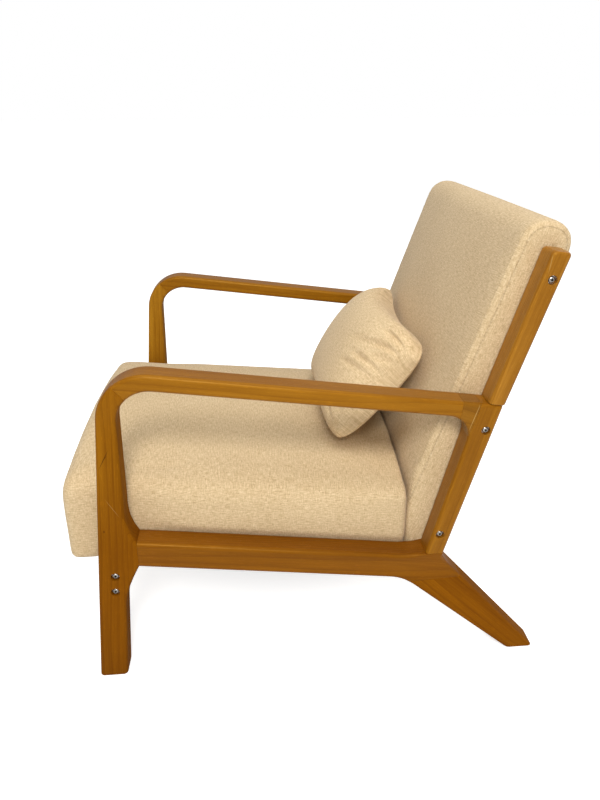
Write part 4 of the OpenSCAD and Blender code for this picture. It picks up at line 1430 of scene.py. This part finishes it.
    def timbers(self) -> Iterator[tuple[str, Rungs, Sequence, Board]]:
        """Lists the timbers.

        Yields:
            The name, the sections, the places of the bolts and the board of each of the seven.
        """
        v, posts = self.view, self.view.post_bolts()
        # Painted highlight: a pale line along the joint of the corner block and the lower post.
        joint_highlight = (((639.2, 481), -108, 0.062, 0.0013, PALE_LINE, 0.8),)
        # Board tones are partly painted light and shade: the arm and upper post paler, the low pieces darker.
        yield "front_leg", self.leg(), v.leg_bolts(), Board(
            90 - v.leg_lean, (20, 300), (0.96, 0.98, 0.68), Figure.CATHEDRAL,
            foot_tone=(0.70, 0.60, 0.14), worn=0.505, shine=0.20, far=(1.36, 1.65, 3.6),
            marks=(((53, 435), 62, 0.040, 0.0016), ((54.5, 437), 50, 0.013, 0.0013),
                   ((57, 346), -61, 0.040, 0.0012, PALE_LINE, 0.35), ((39.4, 303), 90, 0.005, 0.003)))
        yield "armrest", self.arm(), (), Board(
            -v.arm_fall, (350, 540), (1.04, 1.10, 1.1), far=(0.93, 0.94, 0.8))
        yield "corner_block", self.block(), (), Board(
            -v.arm_fall - 14, (640, 480), (0.83, 0.91, 1.5), marks=joint_highlight)
        yield "lower_post", self.low_post(), posts[:2], Board(
            90 - v.low_post_lean, (640, 350), (0.98, 1.02, 1.0), marks=joint_highlight)
        yield "side_rail", self.rail(), (), Board(
            -v.rail_fall, (400, 215), (0.74, 0.65, 0.18), worn=0.19, shine=0.34)
        yield "rear_leg", self.heel(), (), Board(
            4 - v.heel_back_rise, (680, 100), (0.78, 0.67, 0.14), Figure.CATHEDRAL, worn=0.505, shine=0.20)
        yield "upper_post", self.high_post(), posts[2:], Board(
            90 - v.back_lean, (725, 600), (1.24, 1.42, 3.2),
            marks=(((733.7, 730), -99, 0.036, 0.0015, PALE_LINE, 0.5),))

    def build(self) -> None:
        """Makes the timbers of the frame and dresses them."""
        word, left = self.side.name.lower(), self.side is Side.LEFT
        for name, rungs, spots, board in self.timbers():
            piece = closed_stack(f"{name}_{word}_looks", rungs.rings(self.view, self.x))
            if len(spots):
                self.bore(piece, spots)
            face = self.view.overall_w / 2
            streaks = tuple(Streak(self.at(face, place), *rest) for place, *rest in board.marks if left)
            # The right frame's copy gets the far factors: painted light and shade for how the lamps fall on
            # that frame.
            tone = board.tone if left else tuple(c * f for c, f in zip(board.tone, board.far))
            centre = self.at(self.x, board.middle)
            finish = Lacquered(f"lacquered_{name}_{word}", board, centre, tone, streaks)
            dress(piece, finish.material(), "show_timber", f"{name}_{word}")


@dataclass
class Fittings:
    """Bolts with detailed heads.

    Attributes:
        view: the side view.
        bolt: sizes of a bolt.
        leg_shank: length of the shanks in the front legs.
        post_shank: length of those in the posts.
        sharp: angle above which an edge of a bolt is drawn sharp.
    """

    view: SideView
    bolt: Bolt = field(default_factory=Bolt)
    leg_shank: float = 78
    post_shank: float = 60
    sharp: float = 34

    def bolts(self, name: str, spots: Array, length: float) -> Piece:
        """One piece with a bolt at each spot of both frames.

        Args:
            name: the object's name.
            spots: side-view points.
            length: length of the shanks.

        Returns:
            The object.
        """
        grid = self.bolt.grid(length)
        shells = []
        for side in Side:
            face = side.value * (self.view.overall_w / 2 - self.bolt.floor)
            for spot in spots:
                yz = spot + grid[..., :2] * (side.value, 1)
                shells.append(capped(self.view.place(face + side.value * grid[..., 2], yz)))
        points, *groups = zip(*shells)
        size = len(points[0])
        faces = [np.concatenate([one + i * size for i, one in enumerate(group)]) for group in groups]
        piece = new_piece(name, np.concatenate(points), faces, self.sharp)
        inside = np.zeros(grid.shape[:2])
        inside[:self.bolt.socket_rows] = 1.0
        mark(piece, "socket", np.tile(np.append(inside.ravel(), (1.0, 0.0)), len(shells)))
        return piece

    def build(self) -> None:
        """Makes the bolts."""
        v = self.view
        heads = Steel("bolt_steel", (0.54, 0.52, 0.49), 0.26, "socket").material()
        legs = self.bolts("leg_bolts_looks", v.leg_bolts(), self.leg_shank)
        dress(legs, heads, "steel_fittings", "leg_bolts")
        posts = self.bolts("post_bolts_looks", v.post_bolts(), self.post_shank)
        dress(posts, heads, "steel_fittings", "post_bolts")


def recoat(node: str, material: Material) -> None:
    """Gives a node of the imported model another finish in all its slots.

    Args:
        node: the node's name.
        material: the finish.
    """
    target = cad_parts[node]
    if not target.material_slots:
        target.data.materials.append(material)
    for slot in target.material_slots:
        slot.material = material


# ---------------------------------------------------------------- upholstery


@dataclass
class Upholstery:
    """Base of the padded pieces that start from the model's own solid.

    Attributes:
        view: the side view.
        node: the node that the piece stands for.
        voxel: size of the mesh, in metres.
        cap: how far the simulation may move a point, in metres.
        shrink: how far the cover is drawn in before it, in metres.
        smoothing: rounds of smoothing after the remesh.
    """

    view: SideView
    node: str = ""
    voxel: float = 0.006
    cap: float = 0.003
    shrink: float = 0.0035
    smoothing: int = 6

    def shell(self) -> Piece:
        """A copy of the node as an even mesh of voxels, slightly smoothed.

        Returns:
            The object.
        """
        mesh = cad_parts[self.node].data.copy()
        made = bmesh.new()
        made.from_mesh(mesh)
        bmesh.ops.remove_doubles(made, verts=made.verts, dist=1e-5)
        made.to_mesh(mesh)
        made.free()
        piece = bpy.data.objects.new(f"{self.node}_looks", mesh)
        bpy.context.scene.collection.objects.link(piece)
        even = piece.modifiers.new("even", "REMESH")
        even.mode, even.voxel_size, even.use_smooth_shade = "VOXEL", self.voxel, True
        soft = piece.modifiers.new("soft", "SMOOTH")
        soft.factor, soft.iterations = 0.5, self.smoothing
        baked(piece)
        return piece

    def side_points(self, points: Array) -> Array:
        """Side-view points in millimetres from places in metres."""
        return np.stack([points[:, 1] / MM + self.view.mid_y, points[:, 2] / MM], axis=-1)

    def free(self, points: Array, normals: Array) -> Array:
        """How free each point is to move, from 0 where it is held to 1."""
        raise NotImplementedError

    def swell(self, piece: Piece) -> None:
        """Lets air pressure stretch the cover, where it is free, by Blender's cloth solver.

        The solver starts from a cover drawn in along the normals. What it moves along them is
        added to the cover through a hyperbolic tangent, so no point moves further than the cap
        outwards, or than a third of it inwards.

        Args:
            piece: the object whose mesh is moved.
        """
        mesh = piece.data
        start = coordinates(mesh)
        normals = fetched(mesh.vertices, "normal", 3)
        free = self.free(start, normals)
        base = start - normals * (self.shrink * free)[:, None]
        set_coordinates(mesh, base)
        held = piece.vertex_groups.new(name="held")
        held.add(np.flatnonzero(free < 0.02).tolist(), 1.0, "REPLACE")
        cloth = piece.modifiers.new("cloth", "CLOTH")
        settings = cloth.settings
        settings.quality = 3
        settings.mass = 0.35
        settings.tension_stiffness = settings.compression_stiffness = 25
        settings.shear_stiffness = 12
        settings.bending_stiffness = 1.0
        settings.use_pressure = True
        settings.uniform_pressure_force = 4.0
        settings.vertex_group_mass = "held"
        settings.effector_weights.gravity = 0
        cloth.collision_settings.use_collision = False
        cloth.point_cache.frame_start, cloth.point_cache.frame_end = 1, 20
        scene = bpy.context.scene
        for step in range(1, 21):
            scene.frame_set(step)
        depsgraph = bpy.context.evaluated_depsgraph_get()
        done = piece.evaluated_get(depsgraph)
        result = coordinates(done.to_mesh())
        done.to_mesh_clear()
        piece.modifiers.remove(cloth)
        piece.vertex_groups.remove(held)
        scene.frame_set(1)
        along = np.einsum("ij,ij->i", result - base, normals)
        outward = self.cap * np.tanh(along / (3 * self.cap))
        inward = self.cap / 3 * np.tanh(along / self.cap)
        rise = np.where(along > 0, outward, inward) * free
        set_coordinates(mesh, start + normals * rise[:, None])
        log.info("%s: cover moved %.1f to %.1f mm", piece.name, rise.min() / MM, rise.max() / MM)

    def weave(self, piece: Piece, chart: Callable[[Array, Array], Array]) -> None:
        """Lays the fabric's threads over a piece as a UV map in metres.

        Args:
            piece: the object.
            chart: gives U and V of each face corner, from its place and its face's normal.
        """
        mesh = piece.data
        totals = fetched(mesh.polygons, "loop_total", kind=np.int32)
        each = np.repeat(fetched(mesh.polygons, "normal", 3), totals, axis=0)
        lay_threads(mesh, chart(coordinates(mesh)[face_corners(mesh)], each))


@dataclass
class Seat(Upholstery):
    """Upholstered seat with a rounded nose that hangs in front of the cross rail.

    Attributes:
        nose_y: rearward place of the middle of the nose's rounding.
        nose_z: its height.
        nose_r: its radius.
        held: distances from the rails and from the back between which the cover comes free.
        front_free: heights between which the front comes free.
    """

    node: str = "seat_cushion"
    nose_y: float = -2
    nose_z: float = 338
    nose_r: float = 36
    held: Pair = (12, 50)
    front_free: Pair = (222, 262)

    def free(self, points: Array, normals: Array) -> Array:
        """The top and the front are free; the sides are held by the rails and the rear by the back.

        Args:
            points: places in metres.
            normals: the cover's normals there.

        Returns:
            A number from 0 to 1 for each point.
        """
        y, z = self.side_points(points).T
        over = ease(z - self.view.rail_top(y)[:, 1], *self.held)
        front = ease(-y, -2, 14) * ease(z, *self.front_free) * ease(-normals[:, 1], 0.2, 0.7)
        rear = ease(self.view.seat_rear_y - y, *self.held)
        outer = ease(normals[:, 2] - normals[:, 1] + abs(normals[:, 0]), 0.1, 0.4)
        return np.maximum(over * rear, front) * outer

    def chart(self, points: Array, normals: Array) -> Array:
        """Threads run over the nose and the top; the sides have their own panels.

        Args:
            points: places of the face corners, in metres.
            normals: their faces' normals.

        Returns:
            U and V of each, in metres.
        """
        y, z = self.side_points(points).T
        angle = np.arctan2(self.nose_y - y, z - self.nose_z)
        top, nose = y - self.nose_y, -self.nose_r * angle
        front = -self.nose_r * math.pi / 2 - (self.nose_z - z)
        along = np.where(y < self.nose_y, nose, top)
        along = np.where(z < self.nose_z, np.where(y < self.nose_y + 40, front, top), along)
        wrap = np.stack([points[:, 0], along * MM], axis=-1)
        panel = np.stack([y * MM + 3.0, z * MM], axis=-1)
        return np.where((abs(normals[:, 0]) > 0.72)[:, None], panel, wrap)

    def build(self) -> None:
        """Makes the seat."""
        piece = self.shell()
        self.swell(piece)
        self.weave(piece, self.chart)
        dress(piece, Linen("linen_seat").material(), "upholstery", "seat_cushion")


@dataclass
class Back(Upholstery):
    """Upholstered back with a domed top, flat side panels and a seam round each of them.

    Attributes:
        front_r: radius of the panels' upper front corner.
        rear_r: radius of their upper rear corner.
        wrap: how far the panels' outline is drawn in to the seam.
        rear_seam: distance of the seam across the rear below the top.
        edge_x: distance from the middle at which the side panels begin to hold the cover.
        edge_run: distance over which it comes free inside that.
        front_d: depths between which the front comes free.
        front_z: heights between which it comes free above the seat.
        top_u: heights, counted from the top, between which the top comes free.
        side_seam_x: distances from the middle between which the side seams begin.
        rear_seam_x: distances from the middle between which the rear seam ends.
        off: what is added to the distance where there is no seam.
    """

    node: str = "back_cushion"
    front_r: float = 42
    rear_r: float = 36
    wrap: float = 11.2
    rear_seam: float = 14
    edge_x: float = 270
    edge_run: float = 26
    front_d: Pair = (40, 62)
    front_z: Pair = (330, 380)
    top_u: Pair = (-34, -12)
    side_seam_x: Pair = (262, 272)
    rear_seam_x: Pair = (256, 262)
    off: float = 60

    def free(self, points: Array, normals: Array) -> Array:
        """The front and the top are free; the posts hold the side panels, and a board the rear.

        Args:
            points: places in metres.
            normals: the cover's normals there; not used.

        Returns:
            A number from 0 to 1 for each point.
        """
        u, d = self.view.back_from(self.side_points(points))
        inside = ease(self.edge_x - abs(points[:, 0]) / MM, 0, self.edge_run)
        front = ease(d, *self.front_d) * ease(points[:, 2] / MM, *self.front_z)
        top = ease(u - self.view.back_len, *self.top_u)
        return np.maximum(front, top) * inside

    def chart(self, points: Array, normals: Array) -> Array:
        """Threads run up the front, over the dome and down the rear; each side is a panel.

        Args:
            points: places of the face corners, in metres.
            normals: their faces' normals.

        Returns:
            U and V of each, in metres.
        """
        u, d = self.view.back_from(self.side_points(points))
        half = self.view.back_top_t / 2
        neck = self.view.back_len - half
        dome = neck + half * np.arctan2(u - neck, d - half)
        rear = neck + half * math.pi + (neck - u)
        along = np.where(u > neck, dome, np.where(d > half, u, rear))
        wrap = np.stack([points[:, 0], along * MM], axis=-1)
        panel = np.stack([u * MM + 5.0, d * MM], axis=-1)
        return np.where((abs(normals[:, 0]) > 0.8)[:, None], panel, wrap)

    def seam(self, points: Array) -> Array:
        """Distance to the seams in millimetres, positive inside a side panel.

        The panel's outline in the side view is the back's own, drawn in; the distance to that
        outline less the width of the wrap is 0 on the seam. Off the sides it is made large. A
        second seam runs across the chair where the dome of the top ends at the rear.

        Args:
            points: places in metres.

        Returns:
            One number for each point.
        """
        u, d = self.view.back_from(self.side_points(points))
        x, thick, length = abs(points[:, 0]) / MM, self.view.back_thick(u), self.view.back_len

        def inside(depth: Array, radius: float) -> Array:
            """Distance to one edge of the side panel's outline, with its rounded upper corner.

            Args:
                depth: distance from the straight part of that edge.
                radius: radius of the corner.

            Returns:
                One number for each point.
            """
            low = length - radius
            turn = np.hypot(np.maximum(u - low, 0), np.maximum(radius - depth, 0))
            return np.where(u > low, radius - turn, depth)

        edge = np.where(d > thick / 2, inside(thick - d, self.front_r), inside(d, self.rear_r))
        side = np.minimum(edge, length - u) - self.wrap + self.off * (1 - ease(x, *self.side_seam_x))
        rear = np.where(d < thick * 0.4, u - (length - self.rear_seam), self.off)
        rear = rear + self.off * ease(x, *self.rear_seam_x)
        return np.where(abs(rear) < abs(side), rear, side)

    def build(self) -> None:
        """Makes the back."""
        piece = self.shell()
        self.swell(piece)
        self.weave(piece, self.chart)
        mark(piece, "seam", self.seam(coordinates(piece.data)))
        dress(piece, Linen("linen_back", seam="seam").material(), "upholstery", "back_cushion")


@dataclass
class RearPanel(Back):
    """Thin upholstered panel that closes the back from behind.

    Attributes:
        bulge: how far its middle stands proud of its edge.
        edge: how far its edge lies in front of the back's rear face.
        sunk: how far its hidden front face does.
        gap: distances of its outline inside its solid's side, foot and top.
        lines: lines of its mesh each way.
    """

    node: str = "back_panel"
    bulge: float = 3.0
    edge: float = 0.6
    sunk: float = 4.0
    gap: Triple = (0.3, 0.6, 2)
    lines: int = 61

    def build(self) -> None:
        """Makes the panel as a crowned sheet: its rear face stands proud like a flat dome."""
        low, high = (np.array(corner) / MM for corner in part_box(self.node))
        v = self.view
        foot = (low[2] + self.gap[1]) / math.cos(math.radians(v.back_lean))
        top = v.back_len - self.rear_r - self.gap[2]
        s, t = np.meshgrid(np.linspace(-1, 1, self.lines), np.linspace(0, 1, self.lines), indexing="ij")
        crown = (1 - s ** 6) * (1 - (2 * t - 1) ** 6)
        front, rear = (v.place((high[0] - self.gap[0]) * s, v.back_at(foot + (top - foot) * t, depth))
                       for depth in (self.sunk, self.edge - self.bulge * crown))
        piece = closed_stack("back_panel_looks", np.concatenate([front, rear[:, ::-1]], axis=1), 60)
        self.weave(piece, self.chart)
        dress(piece, Linen("linen_panel").material(), "upholstery", "back_panel")


@dataclass(frozen=True)
class Crease:
    """A short fold in a cover, as a straight valley with a low ridge beside it.

    Attributes:
        start: one end, as millimetres from the pillow's near edge and down from its top edge.
        end: the other end.
        width: half width of the valley, in millimetres.
        depth: depth of the valley, in millimetres.
    """

    start: Pair
    end: Pair
    width: float
    depth: float

    def height(self, places: Array) -> Array:
        """Height that the fold adds, in millimetres.

        The distance is measured to the segment between the ends. The valley is a bell curve of
        it, and the ridge is a wider and lower one, shifted to the upper side.

        Args:
            places: array of (points, 2), measured as the ends are.

        Returns:
            One height for each point.
        """
        start, run = np.array(self.start), np.array(self.end) - self.start
        share = np.clip(((places - start) @ run) / (run @ run), 0, 1)
        gap = places - start - share[:, None] * run
        far = np.linalg.norm(gap, axis=1)
        upper = gap @ np.array([run[1], -run[0]]) / np.linalg.norm(run)
        taper = np.sin(math.pi * (0.12 + 0.76 * share))
        valley = np.exp(-((far / self.width) ** 2))
        beside = (upper - 1.9 * self.width) ** 2 + (far - abs(upper)) ** 2
        ridge = np.exp(-(beside / (1.6 * self.width) ** 2))
        return self.depth * taper * (0.65 * ridge - valley)


@dataclass
class Pillow(Upholstery):
    """Loose lumbar pillow: two sheets sewn along their edges and filled.

    Attributes:
        width: width of the flat sheets.
        height: height of the flat sheets.
        tilt: tilt of the pillow from the horizontal, in degrees.
        middle: side-view point of its middle.
        front: height of the filling in front of the seam.
        rear: height of the filling behind it.
        setback: how far the seam lies behind the middle plane at the ends.
        clear: least distances from the back and from the seat.
        crown_from: height along the back at which its crown begins.
        crowding: turn in degrees of the sine that crowds the mesh towards the edges.
        creases: folds in the front sheet.
    """

    node: str = "lumbar_pillow"
    width: float = 376
    height: float = 261
    tilt: float = 47.7
    middle: Pair = (509, 470)
    front: float = 72
    rear: float = 52
    setback: float = 24
    clear: Pair = (2.5, 2.0)
    crown_from: float = 333
    crowding: float = 76
    cap: float = 0.004
    shrink: float = 0.003
    columns: int = 78
    rows: int = 56
    creases: tuple[Crease, ...] = (
        Crease((14, 18), (54, 32), 5.0, 7.0),
        Crease((10, 34), (46, 66), 5.0, 7.0),
        Crease((6, 50), (30, 92), 5.0, 5.0),
        Crease((12, 96), (60, 114), 5.5, 6.0),
        Crease((18, 122), (80, 144), 6.0, 4.5),
        Crease((34, 62), (98, 96), 8.0, 3.6),
        Crease((14, 216), (48, 196), 5.5, 4.0),
        Crease((26, 238), (70, 222), 5.5, 3.5),
        Crease((350, 20), (318, 42), 6.0, 3.5),
    )

    def sheet(self, s: Array, t: Array, face: Array) -> Array:
        """Places on the two sheets before the cover is swelled.

        The outline is a rectangle that is drawn in between its corners, more along the top,
        with blunt ears. The height over it is a power of (1 - s squared)(1 - t squared), and
        the seam falls behind the middle plane towards both ends.

        Args:
            s: place across, from -1 to 1.
            t: place up the pillow, from -1 to 1.
            face: 1 on the front sheet and -1 on the rear one.

        Returns:
            Places in millimetres as [x, y, z] of the side view.
        """
        blunt = np.where(s < 0, 0.05, np.where(t > 0, 0.0, 0.10))
        x = self.width / 2 * s * (1 - 0.06 * (1 - t * t) - blunt * abs(t) ** 7)
        bow = np.where(t > 0, 0.20, 0.12)
        drop = np.where(s < 0, 0.03 * s ** 8, np.where(t > 0, 0.34 * s ** 6, 0.09 * s ** 8))
        v = self.height / 2 * t * (1 - bow * (1 - s * s) - drop)
        swell = np.maximum(1 - s * s, 0) ** 0.40 * np.maximum(1 - t * t, 0) ** 0.31
        seam = -self.setback * ease(abs(s), 0.35, 1.0) * (0.55 + 0.45 * np.cos(math.pi / 2 * t))
        full = np.where(face > 0, self.front * (1 + 0.26 * t), -self.rear * (1 - 0.12 * t))
        n = full * swell + seam * (1 - swell)
        lean = math.radians(self.tilt)
        y = self.middle[0] + v * math.cos(lean) - n * math.sin(lean)
        z = self.middle[1] + v * math.sin(lean) + n * math.cos(lean)
        return np.stack([x, y, z], axis=-1)

    def rest(self, points: Array) -> Array:
        """Places in the frame, pushed clear of the seat's top and of the back's front.

        Args:
            points: places in millimetres.

        Returns:
            Places in metres.
        """
        v, x = self.view, points[..., 0]
        u, d = v.back_from(points[..., 1:])
        share = np.clip((u - self.crown_from) / (v.back_len - self.crown_from), 0, 1)
        side = 1 - np.minimum((x / (v.cushion_w / 2)) ** 2, 1)
        face = v.back_thick(u) + v.back_crown * side * np.sin(math.pi * share) ** 0.8
        y, z = np.moveaxis(v.back_at(u, np.maximum(d, face + self.clear[0])), -1, 0)
        z = np.maximum(z, v.seat_top(y) + v.seat_crown * side + self.clear[1])
        return v.place(x, np.stack([y, z], axis=-1))

    def build(self) -> None:
        """Makes the pillow."""
        turn = math.radians(self.crowding)
        lines = (np.sin(np.linspace(-turn, turn, n + 1)) / math.sin(turn) for n in (self.columns, self.rows))
        s, t = (grid.ravel() for grid in np.meshgrid(*lines, indexing="ij"))
        count = s.size
        index = np.arange(count).reshape(-1, self.rows + 1)
        corners = (index[:-1, :-1], index[1:, :-1], index[1:, 1:], index[:-1, 1:])
        quads = np.stack(corners, axis=-1).reshape(-1, 4)
        rim = (abs(s) > 0.999999) | (abs(t) > 0.999999)
        shared = np.where(rim, np.arange(count), np.arange(count) + count)
        kept, quads = np.unique(np.concatenate([quads, shared[quads[:, ::-1]]]), return_inverse=True)
        quads = quads.reshape(-1, 4)
        s, t, face = np.tile(s, 2)[kept], np.tile(t, 2)[kept], np.where(kept < count, 1.0, -1.0)
        places = self.rest(self.sheet(s, t, face))
        if signed_volume(places, quads) < 0:
            quads = quads[:, ::-1]
        piece = new_piece("lumbar_pillow_looks", places, [quads], 80)
        for name, values in (("across", s), ("up", t), ("face", np.where(rim[kept % count], 0.0, face))):
            mark(piece, name, values)
        self.swell(piece)
        fine = piece.modifiers.new("fine", "SUBSURF")
        fine.levels = fine.render_levels = 1
        baked(piece)
        self.fold(piece)
        # Painted light: the pillow's linen is drawn 8 % lighter than the same linen on the seat and back.
        linen = Linen("linen_pillow", seam="seam", gather=0.12, stitch=0.0, light=1.08)
        dress(piece, linen.material(), "upholstery", "lumbar_pillow")

    def fold(self, piece: Piece) -> None:
        """Adds the creases and the weave's map, and marks the distance to the sewn edge.

        Args:
            piece: the swelled cover.
        """
        mesh = piece.data
        s, t, face = (marked(mesh, name) for name in ("across", "up", "face"))
        near = np.stack([(1 - s) * self.width / 2, (1 - t) * self.height / 2], axis=-1)
        rise = sum(crease.height(near) for crease in self.creases) * ease(face, 0.0, 0.6)
        lean = math.radians(self.tilt)
        out = np.array([0.0, -math.sin(lean), math.cos(lean)])
        points = coordinates(mesh)
        points += out * (rise * self.free(points, np.zeros_like(points)) * MM)[:, None]
        set_coordinates(mesh, points)
        flat = np.stack([s * self.width / 2, t * self.height / 2], axis=-1) * MM
        lay_threads(mesh, flat[face_corners(mesh)])
        mark(piece, "seam", np.minimum((1 - abs(s)) * self.width, (1 - abs(t)) * self.height) / 2)

    def free(self, points: Array, normals: Array) -> Array:
        """Free but for where it rests on the seat and leans on the back.

        Args:
            points: places in metres.
            normals: the cover's normals there; not used.

        Returns:
            A number from 0 to 1 for each point.
        """
        v, side = self.view, self.side_points(points)
        u, d = v.back_from(side)
        face, top = v.back_thick(u) + v.back_crown, v.seat_top(side[:, 0]) + v.seat_crown
        return ease(d - face, 3, 16) * ease(side[:, 1] - top, 3, 16)


# ---------------------------------------------------------------- inner pieces and stage


@dataclass(frozen=True)
class KeptSolids:
    """The pieces that keep the model's solids: each finish with its nodes."""

    finishes: tuple[tuple[Any, tuple[str, ...]], ...] = (
        (LacqueredRail("lacquered_cross_rail"), ("front_cross_rail",)),
        (Steel("bright_steel"),
         ("bolt_washers", "barrel_nuts", "threaded_inserts", "mending_plates", "plate_screws")),
        (PlainTimber("plain_timber_across", 0),
         ("seat_frame_front", "seat_frame_rear", "back_frame_top", "back_frame_bottom")),
        (PlainTimber("plain_timber_deep", 1),
         ("seat_frame_left", "seat_frame_right", "leg_dowels", "mitre_dowels", "arm_dowels")),
        (PlainTimber("plain_timber_tall", 2),
         ("back_frame_left", "back_frame_right", "post_dowels", "rear_leg_dowels")),
        (DarkCloth("webbing_straps"), ("seat_webbing", "back_webbing")),
        (DarkCloth("under_cloth", 0.0012), ("seat_bottom_cloth",)),
    )

    def build(self) -> None:
        """Gives each node its finish."""
        for finish, nodes in self.finishes:
            material = finish.material()
            for node in nodes:
                recoat(node, material)


@dataclass
class Studio:
    """Pale floor, soft lamps and the camera at the photograph's viewing angle.

    Attributes:
        eye: the camera's place in the side view's coordinates, in millimetres.
        pitch: how far it looks down, in degrees.
        yaw: how far it looks rearwards of straight across the chair.
        roll: its turn about its own axis.
        picture: width and height of the picture, in pixels.
        focal_px: focal length, in pixels.
        centre_px: the picture's principal point.
        sensor: the camera's sensor along the picture's height, in millimetres.
        span: half width of the floor, in metres.
        grey: how pale the floor is.
        glow: how strongly it glows for the camera.
        sky: strength of the light from all round.
    """

    view: SideView
    eye: Triple = (1253, 292.5, 953)
    pitch: float = 20.55
    yaw: float = 4.57
    roll: float = -0.43
    picture: tuple[int, int] = (600, 800)
    focal_px: float = 664
    centre_px: Pair = (304, 351)
    sensor: float = 36
    span: float = 40.0
    grey: float = 0.82
    glow: float = 0.70
    sky: float = 0.38

    def camera(self) -> None:
        """Adds the camera: its axes come from pitch, yaw and roll, its shift from the centre."""
        p, y, r = (math.radians(a) for a in (self.pitch, self.yaw, self.roll))
        ahead = np.array([-math.cos(p) * math.cos(y), math.cos(p) * math.sin(y), -math.sin(p)])
        right = np.array([math.sin(y), math.cos(y), 0.0])
        up = np.cross(right, ahead)
        right, up = math.cos(r) * right + math.sin(r) * up, math.cos(r) * up - math.sin(r) * right
        data = bpy.data.cameras.new("camera")
        camera = bpy.data.objects.new("camera", data)
        bpy.context.scene.collection.objects.link(camera)
        turn = np.eye(4)
        turn[:3, 0], turn[:3, 1], turn[:3, 2] = right, up, -ahead
        turn[:3, 3] = self.view.place(self.eye[0], np.array(self.eye[1:]))
        camera.matrix_world = Matrix(turn.tolist())
        wide, tall = self.picture
        data.sensor_fit, data.sensor_width = "AUTO", self.sensor
        data.lens = self.focal_px / tall * self.sensor
        data.shift_x = (wide / 2 - self.centre_px[0]) / tall
        data.shift_y = (self.centre_px[1] - tall / 2) / tall
        data.clip_start, data.clip_end = 0.05, 200
        bpy.context.scene.camera = camera

    def lamp(self, name: str, place: Triple, size: float, power: float, warm: Triple) -> None:
        """Adds a square soft lamp that faces the middle of the chair.

        Args:
            name: its name.
            place: its place in metres.
            size: the side of its square in metres.
            power: its power in watts.
            warm: its colour.
        """
        data = bpy.data.lights.new(name, "AREA")
        data.shape, data.size, data.energy, data.color = "SQUARE", size, power, warm
        lamp = bpy.data.objects.new(name, data)
        lamp.location = place
        lamp.rotation_euler = (Vector((0, 0, 0.4)) - Vector(place)).to_track_quat("-Z", "Y").to_euler()
        bpy.context.scene.collection.objects.link(lamp)

    def world(self) -> None:
        """Adds weak white light from all round, which the camera alone sees at full strength."""
        shader = Shader("studio", world=True)
        weak, full = (shader.node("ShaderNodeBackground", None, {"Color": WHITE, "Strength": strength})
                      for strength in (self.sky, 1.0))
        shader.seen(weak.outputs[0], full.outputs[0])
        bpy.context.scene.world = shader.owner

    def floor(self) -> None:
        """Adds a wide pale floor: a matt surface that also glows for the eye, and keeps shadows."""
        corners = np.array([(-1, -1, 0), (1, -1, 0), (1, 1, 0), (-1, 1, 0)]) * self.span
        floor = new_piece("floor", corners, [np.array([[0, 1, 2, 3]])])
        shader = Shader("pale_floor")
        matt = shader.node("ShaderNodeBsdfDiffuse", None, {"Color": (self.grey, self.grey, self.grey, 1)})
        glow = shader.node("ShaderNodeEmission", None, {"Color": WHITE, "Strength": self.glow})
        both = shader.node("ShaderNodeAddShader", None, {0: matt.outputs[0], 1: glow.outputs[0]})
        shader.seen(matt.outputs[0], both.outputs[0])
        floor.data.materials.append(shader.owner)

    def build(self) -> None:
        """Sets the stage."""
        self.camera()
        self.floor()
        self.world()
        self.lamp("key", (2.9, -0.2, 2.9), 1.0, 92, (1.0, 0.985, 0.96))
        self.lamp("side", (3.2, 0.3, 0.7), 1.8, 9, (1.0, 0.99, 0.97))
        self.lamp("top", (0.3, 0.1, 3.4), 2.4, 33, (1.0, 0.99, 0.98))
        self.lamp("fill", (0.4, -3.0, 1.4), 2.4, 5, (1.0, 0.99, 0.98))
        self.lamp("rear", (-1.2, 2.6, 2.6), 2.0, 22, (1.0, 1.0, 1.0))
        bpy.context.scene.view_settings.view_transform = "Standard"


def main() -> None:
    """Builds the chair's looks, one sub-assembly after the other."""
    logging.basicConfig(level=logging.INFO, format="%(name)s: %(message)s")
    view = SideView()
    Studio(view).build()
    for side in Side:
        SideFrame(view, side).build()
    Fittings(view).build()
    KeptSolids().build()
    Seat(view).build()
    Back(view).build()
    RearPanel(view).build()
    Pillow(view).build()


if __name__ == "__main__":
    main()
